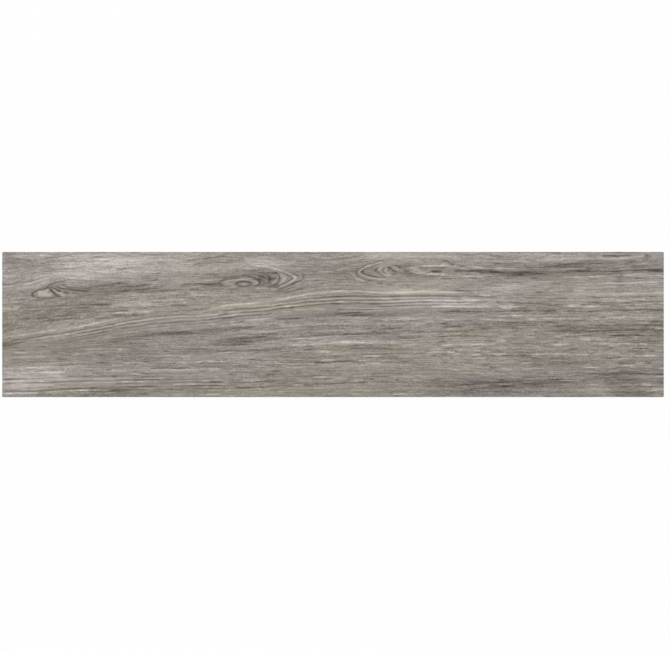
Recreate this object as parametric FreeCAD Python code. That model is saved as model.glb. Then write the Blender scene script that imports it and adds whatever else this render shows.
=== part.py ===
import FreeCAD, Part
import math
import os

# Wood look porcelain plank tile, one dry-pressed and fired piece, in millimetres.
# Frame: origin at the centre of the back, +X along the plank, +Y across it, +Z up through the face.
# The back's rib tops lie at Z = 0 and the glazed face at Z = THICKNESS.

# Outline of the plank
LENGTH = 911.2
WIDTH = 200.0
THICKNESS = 9.5
PLAN_CORNER_RADIUS = 1.5

# Edge section, from the face down: rounded arris, upright collar, flank that draws in, back arris
FACE_ARRIS_RADIUS = 0.8
COLLAR_HEIGHT = 5.5
FLANK_SETBACK = 0.7
BACK_ARRIS_RADIUS = 0.4

# Keying relief of the back: shallow cells between raised ribs, inside a plain border
BORDER_WIDTH = 9.0
RIB_WIDTH = 3.0
CELL_PITCH = 30.0
CELL_DEPTH = 0.7
CELL_CORNER_CUT = 2.5
CELL_DRAFT_DEGREES = 30.0

NODE = "plank_tile"


def rounded_rectangle(length, width, radius, z):
    """Closed wire of a rectangle with round corners, centred on the Z axis at height z."""
    diagonal = radius * math.sqrt(0.5)
    corners = []
    for side_x, side_y in ((1, 1), (-1, 1), (-1, -1), (1, -1)):
        centre = FreeCAD.Vector(side_x * (length / 2 - radius), side_y * (width / 2 - radius), z)
        on_end = centre + FreeCAD.Vector(side_x * radius, 0, 0)
        on_side = centre + FreeCAD.Vector(0, side_y * radius, 0)
        middle = centre + FreeCAD.Vector(side_x * diagonal, side_y * diagonal, 0)
        ends = (on_end, on_side) if side_x == side_y else (on_side, on_end)
        corners.append((ends[0], middle, ends[1]))
    edges = []
    for (start, middle, end), following in zip(corners, corners[1:] + corners[:1]):
        edges.append(Part.Arc(start, middle, end).toShape())
        edges.append(Part.LineSegment(end, following[0]).toShape())
    return Part.Wire(edges)


def mitred_rectangle(length, width, cut, z):
    """Corners of a rectangle cut at 45 degrees, anticlockwise and centred on the Z axis at height z."""
    x = length / 2
    y = width / 2
    outline = [(x, y - cut), (x - cut, y), (cut - x, y), (-x, y - cut)]
    outline += [(-a, -b) for a, b in outline]
    return [FreeCAD.Vector(a, b, z) for a, b in outline]


def flat_face(corners):
    """Plane face of the polygon through these corners."""
    return Part.Face(Part.makePolygon(corners + corners[:1]))


def block_between(low, high):
    """Closed solid between two polygons with as many corners each, its walls flat."""
    faces = [flat_face(low), flat_face(high)]
    low_edges = zip(low, low[1:] + low[:1])
    high_edges = zip(high, high[1:] + high[:1])
    for (low_start, low_end), (high_start, high_end) in zip(low_edges, high_edges):
        faces.append(flat_face([low_start, low_end, high_end, high_start]))
    return Part.makeSolid(Part.makeShell(faces))


def edges_at(solid, z):
    """Edges of the solid that lie flat at height z."""
    tolerance = 1e-4
    found = []
    for edge in solid.Edges:
        box = edge.BoundBox
        if abs(box.ZMin - z) < tolerance and abs(box.ZMax - z) < tolerance:
            found.append(edge)
    return found


def pressed_blank():
    """The plank with its edge section and a plain back."""
    collar_foot = THICKNESS - COLLAR_HEIGHT
    footprint = rounded_rectangle(
        LENGTH - 2 * FLANK_SETBACK, WIDTH - 2 * FLANK_SETBACK, PLAN_CORNER_RADIUS - FLANK_SETBACK, 0
    )
    shoulder = rounded_rectangle(LENGTH, WIDTH, PLAN_CORNER_RADIUS, collar_foot)
    flank = Part.makeLoft([footprint, shoulder], True, True)
    collar = Part.Face(shoulder).extrude(FreeCAD.Vector(0, 0, COLLAR_HEIGHT))
    blank = flank.fuse(collar).removeSplitter()
    blank = blank.makeFillet(FACE_ARRIS_RADIUS, edges_at(blank, THICKNESS))
    return blank.makeFillet(BACK_ARRIS_RADIUS, edges_at(blank, 0))


def cells_along(outer_size):
    """Number of cells and their pitch along one side of the back, filling the field inside the border."""
    field = outer_size - 2 * FLANK_SETBACK - 2 * BORDER_WIDTH
    count = max(1, round((field + RIB_WIDTH) / CELL_PITCH))
    return count, (field + RIB_WIDTH) / count


def keying_cell(length, width):
    """One cell, open at Z = 0, whose walls draw in by the same draft on every side up to its flat roof."""
    draft = CELL_DEPTH * math.tan(math.radians(CELL_DRAFT_DEGREES))
    roof_cut = CELL_CORNER_CUT - draft * (2 - math.sqrt(2))
    mouth = mitred_rectangle(length, width, CELL_CORNER_CUT, 0)
    roof = mitred_rectangle(length - 2 * draft, width - 2 * draft, roof_cut, CELL_DEPTH)
    return block_between(mouth, roof)


def keying_relief():
    """Every cell of the back, in rows and columns."""
    columns, pitch_x = cells_along(LENGTH)
    rows, pitch_y = cells_along(WIDTH)
    cell = keying_cell(pitch_x - RIB_WIDTH, pitch_y - RIB_WIDTH)
    cells = []
    for column in range(columns):
        for row in range(rows):
            x = (column - (columns - 1) / 2) * pitch_x
            y = (row - (rows - 1) / 2) * pitch_y
            cells.append(cell.translated(FreeCAD.Vector(x, y, 0)))
    return Part.makeCompound(cells)


os.makedirs("parts", exist_ok=True)
tile = pressed_blank().cut(keying_relief()).Solids[0]
tile.exportStep(os.path.join("parts", NODE + ".step"))
print(NODE, "valid", tile.isValid(), "volume cm3", round(tile.Volume / 1000, 1), "faces", len(tile.Faces))
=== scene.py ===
"""Looks of the wood look porcelain plank tile: pressed grain, printed matte glaze, bare body and studio."""

import logging
import math
from dataclasses import dataclass, field
from enum import Enum

import bmesh
import bpy
import numpy as np
from mathutils import Matrix, Vector


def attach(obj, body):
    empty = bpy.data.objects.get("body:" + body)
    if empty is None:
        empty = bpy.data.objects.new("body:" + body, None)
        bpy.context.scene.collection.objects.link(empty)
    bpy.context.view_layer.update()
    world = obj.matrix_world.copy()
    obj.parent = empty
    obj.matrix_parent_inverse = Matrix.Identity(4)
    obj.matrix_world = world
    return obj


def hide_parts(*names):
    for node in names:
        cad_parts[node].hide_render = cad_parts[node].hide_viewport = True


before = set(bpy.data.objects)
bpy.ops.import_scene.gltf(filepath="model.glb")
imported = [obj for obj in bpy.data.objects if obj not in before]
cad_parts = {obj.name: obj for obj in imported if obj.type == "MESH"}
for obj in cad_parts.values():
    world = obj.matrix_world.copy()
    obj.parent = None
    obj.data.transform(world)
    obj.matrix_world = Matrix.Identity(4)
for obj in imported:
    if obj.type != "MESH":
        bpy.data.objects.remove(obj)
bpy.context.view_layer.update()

MM = 0.001
NODE = "plank_tile"
WELD = 1e-6
HALO = 0.45
NOISE_GAIN = 3.4

Point = tuple[float, float]
Line = tuple[Point, ...]
Path = tuple[float, ...]
Ellipse = tuple[float, float, float, float]
Paint = tuple[float, float, float, float]
log = logging.getLogger("plank")


def linear(level: float) -> float:
    """Linear value of an sRGB level from 0 to 255."""
    share = max(0.0, min(level / 255.0, 1.0))
    return share / 12.92 if share <= 0.04045 else ((share + 0.055) / 1.055) ** 2.4


def colour(red: float, green: float, blue: float) -> Paint:
    """Linear colour of three sRGB levels from 0 to 255."""
    return (linear(red), linear(green), linear(blue), 1.0)


def smooth(share: np.ndarray) -> np.ndarray:
    """Eases a share from 0 to 1 in and out, clipped at both ends."""
    clipped = np.clip(share, 0.0, 1.0)
    return clipped * clipped * (3.0 - 2.0 * clipped)


def stroke_profile(offset: np.ndarray) -> np.ndarray:
    """Share of a stroke's ink at an offset in widths, with a faint line of the other tone beside it."""
    return np.exp(-offset * offset) * (1.0 - HALO * offset * offset)


def hill(x: np.ndarray, y: np.ndarray, ellipse: Ellipse) -> np.ndarray:
    """Soft hill over an ellipse of the face.

    Args:
        x: distances from the left end, in millimetres.
        y: distances from the near edge, in millimetres.
        ellipse: place of its middle, half length and half width, in millimetres.

    Returns:
        Heights from 0 to 1 for each place.
    """
    middle_x, middle_y, half_length, half_width = ellipse
    return np.exp(-((x - middle_x) / half_length) ** 2 - ((y - middle_y) / half_width) ** 2)


def through(points: Line, along: np.ndarray) -> np.ndarray:
    """Heights of a smooth curve through points in order of their first number.

    Args:
        points: places on the face, in millimetres.
        along: where the heights are wanted.

    Returns:
        One height for each value of along, level past both ends.
    """
    xs = np.array([p[0] for p in points], float)
    ys = np.array([p[1] for p in points], float)
    if len(xs) == 2:
        return np.interp(along, xs, ys)
    slopes = np.gradient(ys, xs)
    spot = np.clip(along, xs[0], xs[-1])
    left = np.clip(np.searchsorted(xs, spot, side="right") - 1, 0, len(xs) - 2)
    span = xs[left + 1] - xs[left]
    t = (spot - xs[left]) / span
    rise = ys[left + 1] - ys[left]
    start = slopes[left] * span
    end = slopes[left + 1] * span
    return ys[left] + t * (start + t * (3 * rise - 2 * start - end + t * (start + end - 2 * rise)))


@dataclass(frozen=True)
class Waver:
    """Smooth random waviness along one or two directions, the same on every run."""

    seed: int
    pitch: float
    pitch_across: float = 1.0

    def along(self, place: np.ndarray) -> np.ndarray:
        """Waviness from -1 to 1 that changes over about one pitch.

        Args:
            place: distances in millimetres, none below minus one pitch.

        Returns:
            One value for each distance.
        """
        step = place / self.pitch + 2.0
        count = int(step.max()) + 3
        heights = np.random.default_rng(self.seed).uniform(-1.0, 1.0, count)
        cell = np.floor(step).astype(int)
        blend = smooth(step - cell)
        return heights[cell] * (1 - blend) + heights[cell + 1] * blend

    def over(self, place: np.ndarray, across: np.ndarray) -> np.ndarray:
        """Streaky noise from -1 to 1, long along the first direction and narrow across it.

        Args:
            place: distances along, in millimetres, none below minus one pitch.
            across: distances across, in millimetres, none below minus one cross pitch.

        Returns:
            One value for each pair.
        """
        row = across / self.pitch_across + 2.0
        lane = np.floor(row).astype(int)
        lift = smooth(row - lane)
        shifts = np.random.default_rng(self.seed + 1).uniform(0.0, 1.0, int(row.max()) + 3)
        total = np.zeros_like(place)
        for side, weight in ((0, 1 - lift), (1, lift)):
            step = place / self.pitch + 2.0 + shifts[lane + side]
            cell = np.floor(step).astype(int)
            blend = smooth(step - cell)
            grid = np.random.default_rng(self.seed).uniform(-1.0, 1.0, (len(shifts), int(step.max()) + 3))
            total += weight * (grid[lane + side, cell] * (1 - blend) + grid[lane + side, cell + 1] * blend)
        return total


@dataclass(frozen=True)
class GrainFlow:
    """How the grain runs over the face: guide lines from end to end, and swells at the knots."""

    guides: tuple[Line, ...]
    swells: tuple["Swell", ...]
    stations: int = 60
    least_gap: float = 0.5

    def levels(self) -> list[float]:
        """Ring level of each guide line, its mean height in millimetres."""
        stations = np.linspace(0.0, self.guides[0][-1][0], self.stations)
        return [float(through(guide, stations).mean()) for guide in self.guides]

    def level_at(self, x: np.ndarray, y: np.ndarray) -> np.ndarray:
        """Ring level of places on the face, without the swells.

        Args:
            x: distances from the left end, in millimetres.
            y: distances from the near edge, in millimetres.

        Returns:
            The level of the grain line through each place.
        """
        levels = self.levels()
        heights = [through(guide, x) for guide in self.guides]
        result = np.full_like(np.asarray(x, float), levels[0])
        for low, high, start, end in zip(heights, heights[1:], levels, levels[1:]):
            share = np.clip((y - low) / np.maximum(high - low, self.least_gap), 0.0, 1.0)
            result += share * (end - start)
        return result

    def height_of(self, x: np.ndarray, level: np.ndarray) -> np.ndarray:
        """Where the grain line of a level runs.

        Args:
            x: distances from the left end, in millimetres.
            level: ring levels.

        Returns:
            Distances from the near edge, in millimetres.
        """
        levels = self.levels()
        heights = [through(guide, x) for guide in self.guides]
        result = heights[0].copy()
        for low, high, start, end in zip(heights, heights[1:], levels, levels[1:]):
            share = np.clip((level - start) / (end - start), 0.0, 1.0)
            result += share * np.maximum(high - low, self.least_gap)
        return result

    def rings_at(self, x: np.ndarray, y: np.ndarray) -> np.ndarray:
        """Ring level of places on the face with the swells of the knots added.

        Args:
            x: distances from the left end, in millimetres.
            y: distances from the near edge, in millimetres.

        Returns:
            The level that the fine streaks follow.
        """
        result = self.level_at(x, y)
        for swell in self.swells:
            result += swell.lift(x, y)
        return result


@dataclass(frozen=True)
class Swell:
    """A bulge of the growth rings, which closes their lines into an eye or turns them round in a tip."""

    ellipse: Ellipse
    rise: float

    def lift(self, x: np.ndarray, y: np.ndarray) -> np.ndarray:
        """How far the rings are lifted at each place.

        Args:
            x: distances from the left end, in millimetres.
            y: distances from the near edge, in millimetres.

        Returns:
            Lifts in millimetres of ring level.
        """
        return self.rise * hill(x, y, self.ellipse)


class Run(Enum):
    """How a stroke of ink finds its way between its points."""

    WITH_GRAIN = "with the grain"
    FREE = "free"


@dataclass(frozen=True)
class Strokes:
    """Strokes of the print that share one strength and one width.

    The tone is in levels of 255, below 0 for dark ink and above 0 for pale. Widths and places are in
    millimetres. Each path gives its points in order, the distance from the left end and the distance from
    the near edge in turn. A path of three numbers is level: both its ends are as far from the near edge.
    """

    tone: float
    width: float
    paths: tuple[Path, ...]
    run: Run = Run.WITH_GRAIN
    fade: float = 0.12
    reach: float = 3.5
    sag: float = 12.0
    waver_pitch: float = 14.0
    waver_depth: float = 0.15
    steady: float = 0.88
    free_step: float = 0.5
    blunt_end: float = 0.25

    def ink(self, x: np.ndarray, y: np.ndarray, flow: GrainFlow) -> np.ndarray:
        """Tone that these strokes add at each place.

        Args:
            x: distances from the left end, in millimetres.
            y: distances from the near edge, in millimetres.
            flow: the grain that strokes follow.

        Returns:
            Levels of 255 for each place.
        """
        total = np.zeros_like(x)
        for number, path in enumerate(self.paths):
            level = path + (path[1],) if len(path) == 3 else path
            points = np.array(level, float).reshape(-1, 2)
            low = points.min(axis=0) - self.reach * self.width
            high = points.max(axis=0) + self.reach * self.width
            sag = self.sag if self.run is Run.WITH_GRAIN else 0.0
            near = (x > low[0]) & (x < high[0]) & (y > low[1] - sag) & (y < high[1] + sag)
            if not near.any():
                continue
            if self.run is Run.WITH_GRAIN:
                total[near] += self._grain_stroke(points, x[near], y[near], flow, number)
            else:
                total[near] += self._free_stroke(points, x[near], y[near])
        return total

    def _grain_stroke(
        self, points: np.ndarray, x: np.ndarray, y: np.ndarray, flow: GrainFlow, number: int
    ) -> np.ndarray:
        """Tone of one stroke that runs along the grain between its points.

        Args:
            points: its points, from left to right.
            x: distances from the left end, in millimetres.
            y: distances from the near edge, in millimetres.
            flow: the grain that it follows.
            number: its place in the group, which sets its waviness.

        Returns:
            Levels of 255 for each place.
        """
        xs = points[:, 0]
        level = np.interp(x, xs, flow.level_at(xs, points[:, 1]))
        waver = Waver(seed=int(abs(self.tone) * 31 + number), pitch=self.waver_pitch)
        path = flow.height_of(x, level) + self.waver_depth * waver.along(x)
        offset = (y - path) / self.width
        share = (x - xs[0]) / (xs[-1] - xs[0])
        ends = smooth(share / self.fade) * smooth((1 - share) / self.fade)
        strength = self.steady + self.waver_depth * waver.along(x * 1.7 + 5.0)
        return self.tone * ends * strength * stroke_profile(offset)

    def _free_stroke(self, points: np.ndarray, x: np.ndarray, y: np.ndarray) -> np.ndarray:
        """Tone of one stroke on a smooth curve through its points, whatever its direction.

        Args:
            points: its points in order.
            x: distances from the left end, in millimetres.
            y: distances from the near edge, in millimetres.

        Returns:
            Levels of 255 for each place.
        """
        steps = np.concatenate([[0.0], np.cumsum(np.hypot(*np.diff(points, axis=0).T))])
        dense = np.linspace(0.0, steps[-1], max(8, int(steps[-1] / self.free_step)))
        curve_x = through(tuple(zip(steps, points[:, 0])), dense)
        curve_y = through(tuple(zip(steps, points[:, 1])), dense)
        gaps = np.hypot(x[:, None] - curve_x, y[:, None] - curve_y)
        nearest = gaps.argmin(axis=1)
        offset = gaps[np.arange(len(x)), nearest] / self.width
        share = dense[nearest] / steps[-1]
        taper = (1.0 - self.blunt_end) * smooth(share / self.fade)
        ends = self.blunt_end + taper * smooth((1 - share) / self.fade)
        return self.tone * ends * stroke_profile(offset)


@dataclass(frozen=True)
class TonePatch:
    """A soft pale or dark patch of the print, drawn out along the grain."""

    centre: Point
    half_length: float
    half_width: float
    tone: float

    def shade(self, x: np.ndarray, y: np.ndarray, flow: GrainFlow) -> np.ndarray:
        """Tone that the patch adds at each place, in levels of 255.

        Args:
            x: distances from the left end, in millimetres.
            y: distances from the near edge, in millimetres.
            flow: the grain that bends the patch.

        Returns:
            Levels of 255 for each place.
        """
        u = (x - self.centre[0]) / self.half_length
        middle = flow.level_at(np.array([self.centre[0]]), np.array([self.centre[1]]))[0]
        path = flow.height_of(x, np.full_like(x, middle))
        v = (y - path) / self.half_width
        return self.tone * np.exp(-u * u - v * v)


# The print, placed as the photograph shows it.
# Places are in millimetres, from the left end and from the near edge.

FLOW = GrainFlow(
    guides=(
        ((0, 0), (912, 0)),
        ((0, 19.3), (60, 20), (100, 22), (140, 22.5), (200, 20), (300, 20), (340, 20.8), (400, 23.5),
         (460, 24.5),
         (540, 25), (600, 25), (700, 22), (912, 22)),
        ((0, 51), (90, 52), (140, 49), (200, 48.5), (250, 50), (300, 51.3), (350, 52.5), (440, 53),
         (500, 55),
         (554, 54), (700, 52), (912, 53)),
        ((0, 60), (30, 61), (100, 63), (140, 64), (227, 63), (300, 63), (330, 64), (370, 65.5), (404, 68.5),
         (470, 70), (560, 70), (620, 72), (700, 74.5), (912, 74)),
        ((0, 69.5), (15, 72.5), (33, 75.5), (53, 77), (75, 78.5), (90, 80), (100, 82.5), (120, 86),
         (140, 89.5),
         (156, 93), (180, 98), (208, 101.5), (250, 104.5), (290, 107.5), (330, 111.5), (358, 113),
         (395, 117),
         (440, 121), (470, 122), (520, 122.5), (612, 124.5), (700, 124), (815, 124.5), (912, 124)),
        ((0, 74), (20, 79), (45, 81.5), (60, 84.5), (80, 87.5), (100, 91.5), (120, 96), (140, 100),
         (156, 103.5),
         (175, 107), (205, 110.5), (235, 112.5), (270, 113.5), (292, 117.5), (308, 119.5), (345, 121.5),
         (380, 124.5), (400, 127.5), (425, 131), (445, 133), (500, 133.5), (560, 135), (600, 136),
         (690, 136),
         (740, 137), (850, 137.5), (912, 139)),
        ((0, 97), (40, 101), (80, 107), (130, 114), (152, 115.5), (185, 117.5), (205, 117.5), (240, 119),
         (270, 121), (300, 125), (320, 127), (350, 128), (380, 130.5), (425, 136), (461, 138.5),
         (560, 139.5),
         (676, 138.5), (740, 140), (912, 142)),
        ((0, 121), (60, 120), (100, 123), (156, 125), (231, 126.5), (255, 127), (300, 129.5), (340, 131),
         (365, 134), (403, 140), (430, 143), (490, 147), (520, 144.5), (612, 145), (700, 146), (912, 149)),
        ((0, 133), (33, 135), (65, 136), (85, 138), (152, 140), (240, 141.5), (300, 142), (350, 142.5),
         (384, 145),
         (402, 149), (440, 152), (500, 153.5), (600, 153), (700, 155), (912, 158)),
        ((0, 145), (60, 148), (90, 148), (120, 146.5), (152, 146.5), (175, 147.5), (217, 150.5), (248, 154),
         (300, 156), (333, 155.5), (360, 155), (390, 158), (415, 161), (480, 162), (570, 161), (912, 163)),
        ((0, 150), (30, 155), (45, 158), (60, 162), (75, 163.5), (95, 163), (130, 160.5), (197, 160.5),
         (240, 163.5),
         (285, 164), (335, 169), (352, 171), (380, 170), (415, 168), (440, 168), (480, 171), (540, 173),
         (640, 174), (700, 171), (760, 172), (850, 173), (912, 175.5)),
        ((0, 170), (30, 175), (60, 178.5), (150, 179.5), (213, 180), (300, 183), (350, 183), (400, 181),
         (440, 179),
         (480, 181), (526, 190), (570, 187), (612, 183), (640, 181), (700, 180), (745, 180), (800, 184.5),
         (850, 187), (912, 191)),
        ((0, 189), (60, 191.5), (130, 192.5), (200, 191), (255, 189), (308, 194), (400, 190.5),
         (456, 190.5),
         (490, 194), (526, 196.5), (640, 194), (700, 192.5), (850, 194), (912, 195)),
        ((0, 200), (912, 200)),
    ),
    swells=(
        Swell((345, 163, 36, 8), 13),
        Swell((545, 172, 42, 9), 14),
        Swell((60, 145, 20, 6), 8),
    ),
)

KNOT_LEFT = (
    Strokes(36, 3.0, ((50, 141.3, 59, 141.3, 68, 140.5),), Run.FREE, 0.02),
    Strokes(30, 1.7, ((49, 144.4, 56, 145.2, 62, 144.8),), Run.FREE, 0.1),
    Strokes(36, 1.1, ((59.6, 147.3, 64.6, 147.1),), Run.FREE, 0.02),
    Strokes(-44, 1.3, (
        (41.2, 139.6, 42.2, 142.4, 46.5, 145.8, 50.5, 147.7, 57.5, 148.4),
        (57.5, 148.6, 61, 150, 64.5, 152), (66, 148.6, 69.8, 145.2, 74, 141),
        (84.4, 144.8, 87, 144, 91, 142.7), (41, 139.4, 45.4, 138.6),
    ), Run.FREE, 0.1),
    Strokes(-42, 1.2, (
        (66, 151.6, 70.4, 149.9, 75, 147.7, 81, 145.7), (66.4, 148.2, 69.8, 145.2, 73.4, 141.6),
    ), Run.FREE, 0.1),
    Strokes(-32, 1.1, (
        (45, 137.6, 51, 136.2, 60, 135.8, 68, 136.3, 75, 138.3),
        (62, 153.6, 68, 156.4, 76, 158.5, 90, 160.3), (75, 151.8, 80, 150.3, 86, 148.8),
        (73.6, 141.4, 76.5, 139.6, 80, 138.6), (82.4, 154.3, 87, 154),
    ), Run.FREE, 0.12),
    Strokes(38, 1.2, ((67.4, 150.1, 72, 147.2, 78, 143.8, 83, 141.1),), Run.FREE, 0.1),
    Strokes(36, 1.7, ((82, 141, 86, 140.3),), Run.FREE, 0.02),
    Strokes(27, 1.0, (
        (76, 149, 81, 147.5, 87, 146.5), (79.6, 152.3, 84, 151.3, 89, 150.7), (89.6, 154, 94.6, 153.8),
    ), Run.FREE, 0.1),
    Strokes(18, 1.5, ((88, 140.6, 95, 140.4, 103, 140), (80, 139.2, 86, 138.6)), Run.FREE, 0.1),
    Strokes(-20, 1.1, ((70, 161, 80, 163, 95, 163.4), (95, 143.8, 103, 143))),
    Strokes(-22, 1.3, ((92, 147.9, 105, 147, 121, 146.4), (75, 147.7, 81, 145.7))),
    Strokes(-20, 1.6, ((42, 138.6, 40.8, 141, 42.6, 144.4),), Run.FREE, 0.1),
)

KNOT_MIDDLE = (
    Strokes(20, 1.3, (
        (324, 161.4, 332, 161.8, 340, 161.4), (312, 151, 318, 151, 324, 151),
    ), Run.FREE, 0.2),
    Strokes(-24, 1.3, ((366.5, 158.5, 369, 157, 372, 155.5),), Run.FREE, 0.2),
    Strokes(-17, 1.2, ((375, 163.6, 382, 163.4), (345, 152, 356, 154.6, 368, 158)), Run.FREE, 0.2),
    Strokes(42, 1.3, ((329, 155.1, 336),), Run.FREE, 0.02),
    Strokes(-46, 1.5, (
        (322, 155, 324, 157.6, 328, 158.9, 333, 159.2, 339, 158.5, 344, 156.2),
    ), Run.FREE, 0.06),
    Strokes(-32, 1.0, ((323, 154.6, 328, 153.2, 335, 152.8, 340, 153.4, 344, 155.6),), Run.FREE, 0.1),
    Strokes(-38, 1.5, (
        (338, 166.9, 344, 165.6, 350, 162.8, 356, 158.6), (352.5, 160, 355.5, 158, 353, 156),
    ), Run.FREE, 0.1),
    Strokes(-28, 1.1, (
        (299, 160, 306, 161.8, 318, 163, 330, 163.4), (306, 164.4, 320, 165.8, 332, 167, 342, 166.6),
        (298, 157.8, 300.5, 155.5, 302.5, 154), (355, 157, 350.5, 154.2, 345, 152.4),
    ), Run.FREE, 0.14),
    Strokes(28, 1.4, (
        (303, 157, 309, 156.5, 319, 156), (306, 154.6, 313, 154, 322, 152.2), (304, 158.6, 312, 160,
         322, 161.4, 334, 162.6, 345, 160.6, 351.5, 157.4, 346, 154),
    ), Run.FREE, 0.1),
    Strokes(-48, 1.7, ((367, 167, 368.5, 163, 368, 158.5), (366, 162.5, 375, 163.2)), Run.FREE, 0.2),
    Strokes(-34, 1.2, (
        (352, 171.3, 358, 171, 363, 168.8, 368, 165), (354, 167.5, 359, 165.6, 365, 163),
        (371, 172, 375.5, 169), (365, 172.3, 370, 170), (372, 171.5, 378, 170.3, 381.3, 167.5,
         382.4, 163.5, 380.6, 158.5, 376.5, 154.8, 372, 152.8, 365, 151.6), (376, 172, 379.5, 169.6),
        (384, 154.8, 379.5, 152.6, 373, 150.4), (413, 172, 415.3, 168, 414.4, 163.2),
    ), Run.FREE, 0.12),
    Strokes(-33, 1.1, (
        (384, 173, 391, 169.5, 396.5, 167, 400, 164, 396, 160.4, 389, 156.8, 383, 154),
        (400, 170.5, 405, 168.6, 408.5, 166), (414.4, 162.5, 408, 159, 400, 155.4, 392, 152, 384, 149.2,
         377, 147), (404, 152, 396, 149.6, 390, 147.2, 383, 145.6, 374, 144),
        (352, 163, 358, 161, 362, 158), (406, 159, 398, 155.5),
    ), Run.FREE, 0.14),
    Strokes(-31, 1.1, ((385, 142.5, 392, 144, 400, 146, 410, 149.4, 420, 151),)),
    Strokes(34, 1.5, (
        (383.5, 168, 386.5, 163.5, 385, 158.5, 381, 156.5), (387.5, 167.5, 390, 163.5, 388.5, 159.8),
        (369, 178.6, 382, 174.8, 391, 171.3, 398, 167.6, 403, 164.5, 401, 161, 394, 157, 386, 153.6,
         380, 151.2),
    ), Run.FREE, 0.1),
    Strokes(32, 1.1, (
        (402, 167, 405, 164.5, 403, 161.6), (369, 156, 375, 158.5, 378.6, 162.5, 379.6, 166.5),
        (350, 149.4, 358, 150.2, 366, 149.6), (349, 180.8, 358, 180.4, 368, 179), (370, 149, 378, 148.6),
    ), Run.FREE, 0.12),
)

CATHEDRAL = (
    Strokes(-26, 1.5, ((501, 169, 509, 167, 517, 165.6), (551, 176, 555, 173.6, 559, 171)), Run.FREE, 0.2),
    Strokes(19, 1.2, ((518, 162.5, 528, 162.3), (540, 175.5, 547)), Run.FREE, 0.2),
    Strokes(-54, 1.4, (
        (530.6, 178.9, 534, 177.6, 536.5, 175.6, 539, 174, 543.5, 171.6), (531, 178.5, 536, 178.4),
        (546, 178.6, 550, 178.4),
    ), Run.FREE, 0.04),
    Strokes(-26, 1.4, (
        (540, 181, 550, 179.2, 560, 178), (552, 172.4, 560, 169.8, 572, 167.6),
        (516, 176, 519, 172, 524, 169),
    ), Run.FREE, 0.1),
    Strokes(-40, 1.4, ((498.5, 173.8, 495, 172, 499, 169.4), (592, 173.4, 600, 173)), Run.FREE, 0.06),
    Strokes(-30, 1.1, (
        (526, 185.2, 518, 183.3, 508, 180.2, 500, 176.6, 495.2, 173.4, 498, 170.4, 505, 167.4, 515, 165.3,
         527, 163.9), (489.5, 176, 487.3, 172, 489, 167.6, 495, 163.4, 503, 161.4, 513, 160.8),
        (520, 178.2, 516, 177, 513.3, 174.6, 516, 171.6, 522, 168.6, 528, 166.2),
        (515, 187, 520, 188, 526, 188.6), (534, 181.2, 545, 181.2, 553, 181.6, 562, 181, 570, 182),
        (514.6, 176, 513.8, 173.4),
    ), Run.FREE, 0.14),
    Strokes(-28, 1.1, (
        (526, 178.4, 523, 175.2, 525.5, 172, 531, 169.8), (545, 172.2, 551, 170.2, 557, 167.6, 562, 165.4),
        (552, 177.2, 557, 174.4, 562, 171.2, 568, 170), (537, 170.2, 541, 169.8), (532.5, 177, 531.5, 173),
        (502, 181.5, 496, 179, 488, 177.4), (460, 162.5, 470, 161.6, 478, 162.6, 486, 161),
    ), Run.FREE, 0.14),
    Strokes(32, 1.2, (
        (527, 187.2, 518, 184.6, 509, 181.8, 500, 178, 494, 174.6, 492, 172, 495, 169.2, 500, 166.8,
         510, 164.1, 524, 162.6), (522.5, 178.2, 519.4, 176, 518.2, 173.8, 521.5, 171.2, 527, 168.9,
         534, 166.9),
    ), Run.FREE, 0.1),
    Strokes(31, 1.1, (
        (530, 176.4, 527.4, 173.8, 530.6, 171, 537, 168), (479, 172.4, 483, 168.4, 489.5, 163.2,
         499, 160.4), (460, 174.5, 470, 177, 480, 178), (556, 178, 566, 177.6, 572, 175.4, 579, 172),
    ), Run.FREE, 0.12),
)

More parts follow.
